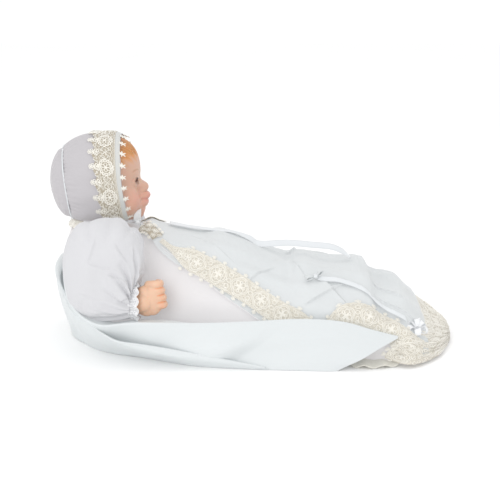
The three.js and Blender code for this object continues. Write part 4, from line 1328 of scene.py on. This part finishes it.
def make_head():
    P = shape_eyes(shape_face(head_grid()))
    hair = smoothstep(232, 246, P[..., 2] + 0.25 * (-150 - P[..., 0]))
    strands = np.sin(np.arctan2(P[..., 1], P[..., 2] - 200) * 90 + 3 * np.sin(P[..., 0] / 7))
    P[..., 0] += 0.35 * hair * strands * smoothstep(-190, -160, P[..., 0])
    neck = (np.hypot(P[..., 0] + 186, P[..., 1]) < 18) & (P[..., 2] < 175)
    paint = face_paint(P)
    P[neck] = np.nan
    head = grid_with_holes("porcelain_head", P, closed=True)
    paint_onto(head, paint[~neck])
    solid = head.modifiers.new("wall", "SOLIDIFY")
    solid.thickness = 3 * MM
    solid.offset = -1
    dress(head, "face", "head", "head")
    for suffix, side in SIDES.items():
        make_eye(suffix, side)


def make_eye(suffix, side):
    """A glass eye with a dark pupil and a brown iris, looking forward and slightly out."""
    look = unit(np.array([0.985, 0.10 * side, 0.0]))
    aside = np.cross(look, (0, 0, 1))
    up = np.cross(aside, look)
    theta = np.linspace(0.01, math.pi, 60)
    phi = np.linspace(0, 2 * math.pi, 48, endpoint=False)
    t, f = (angle[..., None] for angle in np.meshgrid(theta, phi, indexing="ij"))
    ball = np.cos(t) * look + np.sin(t) * np.cos(f) * aside + np.sin(t) * np.sin(f) * up
    cornea = EYE_R + 0.3 * bump(t, 0.42)
    P = EYE_CENTRE * np.array([1, side, 1]) + cornea * EYE_HALF / EYE_R * ball
    eye = grid(f"glass_eye_{suffix}", P, closed=True)
    iris, pupil = smoothstep(0.50, 0.46, t), smoothstep(0.21, 0.18, t)
    ring = bump(t - 0.47, 0.05)
    colour = EYE_WHITE * (1 - iris) + IRIS * (0.75 + 0.25 * np.sin(f * 21)) * iris
    colour = colour * (1 - 0.75 * ring) * (1 - pupil) + PUPIL * pupil
    paint_onto(eye, np.concatenate([colour, np.ones(t.shape)], -1))
    dress(eye, "eye", "head", f"eye_{suffix}")
    make_lashes(suffix, side)


def make_lashes(suffix, side):
    """Lashes along the upper lid, swept up and outwards."""
    lashes = []
    for s in np.linspace(-6, 7.2, 26):
        h = 4.3 * (1 - (s / EYE_WIDTH) ** 2) + 0.10 * s + 0.4
        ball = math.sqrt(1 - (s**2 + h**2) / EYE_HALF[1] ** 2)
        x, y, z = EYE_CENTRE + np.array([EYE_HALF[0] * ball + 0.9, s, h])
        root = np.array([x, y * side, z])
        tip = root + np.array([1.6, 0.28 * s * side, 0.9 + 0.10 * abs(s)])
        bent = (root + tip) / 2 + np.array([0.5, 0, -0.5])
        lashes.append(path([root, bent, tip], 5))
    hairs = tapered_hairs(f"eyelashes_{suffix}", lashes, 0.16)
    finish(hairs, "lash")
    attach(hairs, "head")


def tapered_hairs(name, lines, radius):
    """Thin tapering hairs: three-sided tubes along the given lines."""
    sides, vertices, faces, total = 3, [], [], 0
    for line in lines:
        heading = unit(np.gradient(line, axis=0))
        side = unit(np.cross(heading, (0.1, 0.2, 1.0)))
        up = np.cross(side, heading)
        taper = (radius * (1 - 0.75 * np.linspace(0, 1, len(line)) ** 2))[:, None]
        turns = (0, 2.09, 4.19)
        ring = [line + taper * (math.cos(a) * side + math.sin(a) * up) for a in turns]
        vertices.append(np.stack(ring, 1).reshape(-1, 3))
        for i in range(len(line) - 1):
            for k in range(sides):
                a, b = total + i * sides + k, total + i * sides + (k + 1) % sides
                faces.append([a, b, b + sides, a + sides])
        total += len(line) * sides
    return new_piece(name, np.concatenate(vertices), faces)


# ---------------------------------------------------------------- hands
def beads(chain, radii, count):
    """Balls along a smooth chain of points, close enough to read as one limb."""
    rows = path(np.column_stack([np.array(chain, float), radii]), count)
    return [(row[:3], (row[3],) * 3) for row in rows]


def hand_parts():
    """The forearm, palm, fingers and thumb of the left arm as lists of (centre, half sizes)."""
    arm = beads(
        [(-180, 100, 71), (-166, 102, 71), (-152, 103, 72.5), (-138, 103, 74.5), (-130, 104, 76)],
        [8.5, 10, 11.5, 12.5, 13], 34,
    )
    palm = [(np.array([-127, 104, 77.5]), (16, 9.0, 20)), (np.array([-119, 105.5, 80]), (13, 7.6, 21))]
    fingers = []
    for z, tip in ((99.2, -105.5), (90.6, -103.8), (81.4, -102.0), (72.6, -101.0)):
        chain = [
            (tip - 19, 104, z - 1), (tip - 11, 107, z), (tip - 5.4, 105.5, z), (tip - 4.6, 100, z - 0.3),
            (tip - 8, 95.5, z - 0.6),
        ]
        fingers.append(beads(chain, [4.8, 5.1, 4.9, 4.5, 4.0], 28))
    thumb = beads([(-133, 99, 88), (-123, 94, 93), (-114, 92, 91)], [5, 4.9, 4.0], 18)
    return arm, palm, fingers, thumb


def bead_mesh(name, balls, side):
    """Joins balls into one skin: overlapping ellipsoids remeshed and smoothed."""
    theta = np.linspace(0.001, math.pi - 0.001, 12)
    t, f = np.meshgrid(theta, np.linspace(0, 2 * math.pi, 20, endpoint=False), indexing="ij")
    ball = np.stack([np.sin(t) * np.cos(f), np.sin(t) * np.sin(f), np.cos(t)], -1)
    pieces = []
    for k, (centre, half) in enumerate(balls):
        pieces.append(grid(f"{name}_{k}", (centre + ball * half) * np.array([1, side, 1]), closed=True))
    limb = join(name, pieces)
    editable = bmesh.new()
    editable.from_mesh(limb.data)
    bmesh.ops.holes_fill(editable, edges=[e for e in editable.edges if e.is_boundary], sides=40)
    bmesh.ops.recalc_face_normals(editable, faces=editable.faces)
    editable.to_mesh(limb.data)
    editable.free()
    remesh = limb.modifiers.new("skin", "REMESH")
    remesh.mode = "VOXEL"
    remesh.voxel_size = 0.85 * MM
    smooth = limb.modifiers.new("smooth", "SMOOTH")
    smooth.factor, smooth.iterations = 0.6, 5
    depsgraph = bpy.context.evaluated_depsgraph_get()
    skin = bpy.data.meshes.new_from_object(limb.evaluated_get(depsgraph))
    limb.modifiers.clear()
    old = limb.data
    limb.data = skin
    bpy.data.meshes.remove(old)
    skin.polygons.foreach_set("use_smooth", [True] * len(skin.polygons))
    return limb


def mesh_points(piece):
    """A piece's own points in millimetres."""
    flat = np.empty(len(piece.data.vertices) * 3, np.float32)
    piece.data.vertices.foreach_get("co", flat)
    return flat.reshape(-1, 3) / MM


def make_hand(suffix, side):
    """A forearm with its hand: one skin, with painted shade in the creases between the fingers and at the
    wrist, and a darker tint over the knuckles.
    """
    arm, palm, fingers, thumb = hand_parts()
    balls = arm + palm + thumb + [ball for finger in fingers for ball in finger]
    hand = bead_mesh(f"porcelain_hand_{suffix}", balls, side)
    P = mesh_points(hand) * np.array([1, side, 1])
    reach = []
    for finger in fingers:
        centres = np.array([ball[0] for ball in finger])
        sizes = np.array([ball[1][0] for ball in finger])
        reach.append((np.linalg.norm(P[:, None] - centres[None], axis=2) - sizes).min(1))
    ordered = np.sort(np.array(reach), axis=0)
    # Painted shade: darker where two fingers meet.
    crease_shade = bump(ordered[1] - ordered[0], 1.5) * (ordered[1] < 2.0) * smoothstep(-120, -112, P[:, 0])
    knuckle = bump(np.hypot(P[:, 0] + 107, P[:, 1] - 112), 4.0)
    # Painted shadow where the cuff meets the wrist.
    wrist = bump(P[:, 0] + 137, 5)
    strength = np.clip(0.75 * crease_shade + 0.25 * knuckle + 0.12 * wrist, 0, 1)
    colour = np.tile(np.array([0.72, 0.27, 0.13]), (len(P), 1))
    paint_onto(hand, np.column_stack([colour, strength]))
    dress(hand, "hand", f"arm_{suffix}", f"forearm_{suffix}")


def make_cuff(suffix, side):
    """The scalloped frill round the wrist, with a corded edge."""
    scallops = 12

    def surface(along, across):
        a = along / 18
        share = across / 13
        edge = np.abs(np.sin(a * scallops / 2)) ** 0.8
        r = 17.0 + 3.6 * smoothstep(0, 1, share) + 0.9 * share * np.cos(a * scallops)
        x = -149 + 12.5 * share + 3.4 * share * (edge - 0.5)
        return np.stack([x, (CUFF[1] + r * np.cos(a)) * side, CUFF[2] + r * 1.12 * np.sin(a)], -1)

    length = 2 * math.pi * 18
    cloth_part = strip(f"cuff_cloth_{suffix}", surface, 0, length, 0, 13, 0.6, 1.4, "gown")
    ridges = [np.column_stack([np.linspace(0, length, 260), np.full(260, d)]) for d in (12.6, 11.0, 1.0)]
    holes = []
    for k in range(scallops * 2):
        holes.append(circle((k + 0.5) * length / scallops / 2, 8.6, 1.5, 1.3, 9))
    stems = [np.array([[k * length / 36, 2.0], [k * length / 36, 6.4]]) for k in range(36)]
    wrist = (None, CUFF[1] * side, CUFF[2])
    lines = ridges + holes + stems
    cord = cords(f"cuff_cord_{suffix}", surface, lines, 0.5, 0.1, wrist, "cotton_cord")
    cuff = join(f"cuff_frill_{suffix}", [cloth_part, cord])
    wear(cuff, f"arm_{suffix}", f"cuff_lace_{suffix}")


# ---------------------------------------------------------------- trimmings of the gown
def gown_band(centre_phi, x_start, x_end, lift):
    """Maps (millimetres along a line on the gown, millimetres across it) onto the gown."""
    xs = np.linspace(x_start, x_end, 500)
    phis = centre_phi(xs)
    line = gown_point(xs, phis)
    length = np.concatenate([[0], np.cumsum(np.linalg.norm(np.diff(line, axis=0), axis=1))])
    e = 0.01
    Px = (gown_point(xs + 1, phis) - gown_point(xs - 1, phis)) / 2
    Pp = (gown_point(xs, phis + e) - gown_point(xs, phis - e)) / (2 * e)
    T = np.gradient(line, axis=0)
    B = unit(np.cross(np.cross(Px, Pp), T))
    a, b, c = (Px * Px).sum(1), (Px * Pp).sum(1), (Pp * Pp).sum(1)
    p, q = (Px * B).sum(1), (Pp * B).sum(1)
    det = a * c - b * b
    dx, dphi = (c * p - b * q) / det, (a * q - b * p) / det

    def surface(along, across):
        x0, f0 = np.interp(along, length, xs), np.interp(along, length, phis)
        x = x0 + np.interp(along, length, dx) * across
        phi = np.clip(f0 + np.interp(along, length, dphi) * across, 0.01, math.pi - 0.01)
        return gown_point(x, phi, lift + top_relief(x, phi))

    return surface, length[-1]


def rosette_lines(c, across, radius):
    """A corded four-lobed ring round a flower."""
    angle = np.linspace(0, 2 * math.pi, 40)
    lines = []
    for size in (1.0, 0.84):
        r = radius * size * (0.80 + 0.20 * np.abs(np.cos(2 * angle)) ** 0.7)
        lines.append(np.column_stack([c + r * np.cos(angle), across + r * np.sin(angle)]))
    lines += flower(c, across, radius * 0.66, 4, radius * 0.46, math.pi / 4)
    lines += flower(c, across, radius * 0.60, 4, radius * 0.22, 0)
    lines += [circle(c, across, radius * 0.16, count=10)]
    return lines


def small_flowers(c, radius):
    """A sprig of open flowers across the collar's lace."""
    lines = []
    for shift, across in ((-radius, -3.2), (0, 3.4), (radius, -3.0)):
        lines += flower(c + shift, across, radius * 0.8, 5, radius * 0.5, c)
        lines += [circle(c + shift, across, 0.8, count=7)]
    return lines


ROSETTE_START = 96  # the first rosette's place along the band
ROSETTE_PITCH = 31
ROSETTE_RADIUS = 11.8
COLLAR_SPRIGS = (6, 17, 28)


def front_lace_lines(length, half):
    """The bold and the fine threads of a front lace band, whose half width is half(along)."""
    bold, fine, keep_out = [], [], []
    for c in np.arange(ROSETTE_START, length - 8, ROSETTE_PITCH):
        bold += rosette_lines(c, 0, ROSETTE_RADIUS)
        keep_out.append((c, 0, ROSETTE_RADIUS + 1.6, ROSETTE_RADIUS + 1.6))
        between = c + ROSETTE_PITCH / 2
        bold += [circle(between, across, 2.8, 2.3, 10) for across in (-7, 0, 7)]
        for out in (1, -1):
            fine += [petal(between, 9 * out, turn + math.pi / 2 * out, 4.2, 2.0) for turn in (-0.8, 0.8)]
        keep_out.append((between, 0, 4, 10))
    for c in (72, 82):
        bold += flower(c, 0, 5, 5, 3.0)
    for c in COLLAR_SPRIGS:
        fine += small_flowers(c, 4.4)
    sides = np.arange(44, length, 1.1)
    for sign in (-1, 1):
        for inset, swing in ((0.6, 0.7), (2.2, 0.5)):
            edge = half(sides) - inset + swing * np.sin(sides * 1.3)
            fine += [np.column_stack([sides, sign * edge])]
    loops = filler(60, length - 2, -12.5, 12.5, 4.2, keep_out, 4)
    fine += [loop for loop in loops if abs(loop[0, 1]) < half(loop[0, 0]) - 1]
    fine += filler(1, 33, -8, 8, 3.6, [(c, 0, 6, 6) for c in COLLAR_SPRIGS], 5)
    return bold, fine


def front_lace_picots(length):
    """Picot flowers down both edges of the band and of its piece at the collar."""
    step = ROSETTE_PITCH / 2
    places = [(c, 13.6) for c in np.arange(ROSETTE_START - step, length - 4, step)]
    places += [(c, 7.6) for c in np.arange(2, 34, 6.5)]
    return [loop for c, edge in places for sign in (-1, 1) for loop in picot(c, sign * edge, sign, 0.8)]


def make_front_lace(suffix, side):
    """The lace band down one edge of the sheer panel, with its sheer margin."""
    phi_of = (lambda x: math.pi - lace_angle(x)) if side < 0 else lace_angle
    surface, length = gown_band(phi_of, -141, 213, 4.2)
    half = lambda along: 3 + 11 * smoothstep(52, 92, along)
    low = lambda along: -half(along)
    bold, fine = front_lace_lines(length, half)
    pieces = [
        strip(f"front_net_{suffix}", surface, 40, length, low, half, 1.3, 1.3),
        strip(f"collar_piece_{suffix}", surface, 0, 33, -8, 8, 1.2, 1.2, "shade_dark_net"),
        cords(f"front_cord_{suffix}", surface, bold, 0.52),
        cords(f"front_ground_{suffix}", surface, fine, 0.34),
        cords(f"front_picots_{suffix}", surface, front_lace_picots(length), 0.5),
    ]
    lace = join(f"front_lace_{suffix}_strip", pieces)
    wear(lace, "torso", f"front_lace_{suffix}")
    make_sheer_margin(suffix, side, phi_of)


def make_sheer_margin(suffix, side, phi_of):
    """The panel's sheer edge that shows below the lace, with its narrow hem."""
    surface, length = gown_band(phi_of, -120, 190, 2.0)
    start, end = 18, length - 30
    out = -side
    reach = lambda along: out * (5 + 15 * smoothstep(40, 140, along))
    inner = lambda along: reach(along) - out * 10.2
    edges = (inner, reach) if out > 0 else (reach, inner)
    margin = strip(f"sheer_margin_{suffix}", surface, start, end, *edges, 2.0, 1.0, "organza")
    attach(margin, "torso")
    along = np.linspace(start, end, 140)
    line = np.column_stack([along, reach(along)])
    hem = cords(f"margin_hem_{suffix}", surface, [line], 0.9, material="lining")
    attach(hem, "torso")


def hem_start(phi):
    """Where the wide hem lace begins: near the toes on top and further back at the sides."""
    side = np.abs(phi - math.pi / 2) / (math.pi / 2)
    return 221 - 56 * smoothstep(0.45, 1.0, side)


def hem_surface(lift):
    """Maps (angle round the gown times 100, share of the way to the tip times 60) onto the hem."""
    def at(along, across):
        phi = np.clip(np.asarray(along, float) / 100, 0.005, math.pi - 0.005)
        share = np.asarray(across, float) / 60
        start = hem_start(phi)
        x = start + (261.5 - start) * np.clip(share, -0.05, 1)
        ripple = 1.1 * np.sin(phi * 21 + x / 16) + 0.8 * np.sin(phi * 34 - x / 12 + 1)
        side = np.abs(phi - math.pi / 2) / (math.pi / 2)
        flare = 11 * smoothstep(0.86, 1.0, side) * smoothstep(0, 0.3, share)
        flare = flare * (1 - smoothstep(0.62, 1, share))
        edge = smoothstep(0.0, 0.15, share)
        low = smoothstep(0.55, 0.95, np.maximum(side, share))
        frill = low * (1.8 * np.sin(phi * 52 + 2 * np.sin(phi * 7)) + 1.2 * np.sin(phi * 87 + x / 9)) * edge
        P = gown_point(x, phi, lift + ripple * edge + frill)
        P[..., 1] += np.sign(P[..., 1]) * flare
        P[..., 2] = np.maximum(P[..., 2], 1.6 + low * (2.2 + 1.6 * np.sin(phi * 60) + 0.9 * np.sin(x / 2.4)))
        return P
    return at


def make_hem_lace():
    surface = hem_surface(3.4)
    net = strip("hem_net", surface, 4, 310, 0, 59, 1.0, 1.3)
    lines, keep_out = [], []
    for row, across in enumerate((11, 29, 46)):
        for c in np.arange(14 + 9 * (row % 2), 306, 18.0):
            lines += [circle(c, across, 7.0, 7.6, 24), circle(c, across, 5.8, 6.2, 22)]
            lines += flower(c, across, 4.6, 5 if row % 2 else 4, 2.9, 0.6)
            lines += [circle(c, across, 1.1, count=8)]
            keep_out.append((c, across, 8.2, 8.6))
    lines += filler(5, 309, 1, 58, 4.6, keep_out, 9)
    for across in (1.0, 2.6, 56.0, 58.0):
        points = np.arange(5, 309, 1.0)
        lines += [np.column_stack([points, across + 0.6 * np.sin(points * 1.5)])]
    threads = cords("hem_cord", surface, lines, 0.5, 0.3, (180, 0, -60))
    scallops = []
    for c in np.arange(8, 308, 9.0):
        scallops += picot(c, 0.6, -1, 0.9)
    edging = cords("hem_picots", surface, scallops, 0.5, 0.3, (180, 0, -60))
    lace = join("hem_lace_band", [net, threads, edging])
    wear(lace, "torso", "hem_lace")


def make_hem_facing(suffix, side):
    """The cream facing of the hem, lying on the floor under the lace."""
    along, across = np.meshgrid(np.linspace(0, 1, 60), np.linspace(0, 1, 16), indexing="ij")
    x = 112 + 122 * along
    start = 92 - 34 * smoothstep(0.55, 1, along)
    reach = 46 * np.sin(math.pi * np.clip(along, 0.02, 1) ** 0.55) ** 0.7
    y = start + (reach - 2.5 * np.abs(np.sin(along * 23))) * across
    z = 1.2 + 1.6 * across * (1 + np.sin(along * 34)) + 2.0 * np.sin(math.pi * across)
    P = np.stack([x, y, z], -1) * np.array([1, side, 1])
    facing = grid(f"hem_facing_{suffix}", P if side > 0 else P[:, ::-1], thickness=0.6)
    dress(facing, "cream", "torso")


def make_collar():
    """The small gathered lace collar."""
    surface = frill_surface((-186, 0, 148.5), 24, 40, -7, 30, 1.1, lean=0.02)
    start, end = math.radians(-150) * 30, math.radians(150) * 30
    net = strip("collar_net", surface, start, end, 0, 1, 0.7, 0.1)
    shrink = np.array([1, 1 / 15])
    lines = []
    for along in np.arange(start + 2, end, 4.2):
        lines += [line * shrink for line in flower(along, 11.5, 2.6, 5, 1.7)]
        lines += [circle(along + 2, 6.5, 1.3, 2.2, 9) * shrink]
        lines += [circle(along, 2.5, 1.2, 1.4, 8) * shrink]
    threads = cords("collar_cords", surface, lines, 0.5, 0.2)
    collar = join("collar_frill", [net, threads])
    wear(collar, "torso", "collar_ruffle")


STREAMER = [
    (-104, 6, 149.5), (-80, 5, 145), (-50, 4, 141), (-22, 3.5, 138), (0, 4, 129), (13, 4, 121.5),
    (49.5, 5, 122.5), (78, 6, 119.8), (104, 7, 117), (119, 7, 111.5), (131, 7, 103),
]


def make_long_streamer():
    """The ribbon that runs down the middle of the gown, arched free of it on the way."""
    line = path(STREAMER, 110)
    lift = smoothstep(-20, 10, line[:, 0]) * (1 - smoothstep(118, 131, line[:, 0]))
    tilt = 0.12 + 0.62 * lift
    width = np.stack([0 * tilt, 9.5 * np.cos(tilt), 9.5 * np.sin(tilt)], -1)
    streamer = ribbon("satin_streamer_long", line, width, bend=0.3)
    wear(streamer, "torso", "ribbon_streamer_long")


def make_short_streamer():
    """The ribbon from the bow to the rosette, lying on the sheer panel."""
    count = 80
    share = np.linspace(0, 1, count)
    x, phi = 84 + 120 * share, np.radians(121 + 17 * share**1.9)
    lift = 5.8 + 2.0 * np.sin(share * 9) * (1 - share) + top_relief(x, phi)
    centre = gown_point(x, phi, lift)
    across = unit(gown_point(x + 0.5, phi + 0.02, lift) - centre)
    streamer = ribbon("satin_streamer_short", path(centre[::8], count), across * 9.0, bend=0.3)
    wear(streamer, "torso", "ribbon_streamer_short")


def top_of_gown(x, degrees, lift):
    """A point over the gown."""
    return gown_point(np.array(float(x)), np.array(math.radians(degrees)), lift)


def make_skirt_bow():
    at = top_of_gown(82, 121, 7.5)
    loops = []
    for k, (direction, reach) in enumerate((((-1, -0.3, -0.10), 13), ((0.6, 0.8, 0.26), 12))):
        loop = loop_of(at, reach, 2.6, direction, 8, 0.3)
        loops.append(ribbon(f"skirt_bow_loop_{k}", *loop, "organza", bend=0.5))
    knot = ring_line(at, (0, 2.4, 0), (0, 0, 1.8), 12)
    loops.append(ribbon("skirt_bow_knot", knot, (5.0, 0, 0), bend=0.6))
    wear(join("skirt_bow_ribbon", loops), "torso", "skirt_bow")


def make_rosette():
    at = top_of_gown(207, 141, 7.0)
    loops = []
    for k, angle in enumerate((-2.7, -1.6, -0.5, 0.5, 1.5, 2.6)):
        direction = (math.cos(angle), math.sin(angle), 0.18 + 0.45 * math.sin(angle))
        loop = loop_of(at, 13 - 2.0 * (k % 2), 7, direction, 8.5, 0.3 * (-1) ** k)
        loops.append(ribbon(f"rosette_loop_{k}", *loop, "bow", bend=0.6))
    knot = ring_line(at + (0, 0, 1), (3.4, 0, 0), (0, 0, 3.4), 12)
    loops.append(ribbon("rosette_knot", knot, (0, 6.5, 0), "bow", bend=0.8))
    wear(join("satin_rosette", loops), "torso", "hem_rosette")


# ---------------------------------------------------------------- pieces kept from the CAD
def pair(pattern):
    """A name for each side of the doll."""
    return [pattern.format(side) for side in SIDES]


KEPT = {
    "bisque": ["shoulder_plate"] + pair("lower_leg_{}"),
    "muslin": ["torso_cover"] + pair("upper_arm_{}") + pair("thigh_{}"),
    "filling": ["torso_filling"],
    "steel": ["neck_rod", "neck_nut", "neck_spring"] + pair("shoulder_{}_pin") + pair("hip_{}_pin"),
    "fibre": pair("shoulder_{}_disc_body") + pair("shoulder_{}_disc_limb")
    + pair("hip_{}_disc_body") + pair("hip_{}_disc_limb"),
    "tape": pair("arm_binding_{}") + pair("leg_binding_{}"),
}


def finish_kept_pieces():
    for material, names in KEPT.items():
        for name in names:
            finish(bpy.data.objects[name], material)


make_camera()
make_stage()
make_cape()
make_bodice()
make_skirt()
make_panel()
for side_name, side_sign in SIDES.items():
    make_hand(side_name, side_sign)
    make_cuff(side_name, side_sign)
    make_front_lace(side_name, side_sign)
    make_hem_facing(side_name, side_sign)
make_sleeves()
make_hem_lace()
make_collar()
make_long_streamer()
make_short_streamer()
make_skirt_bow()
make_rosette()
make_head()
make_bonnet()
finish_kept_pieces()

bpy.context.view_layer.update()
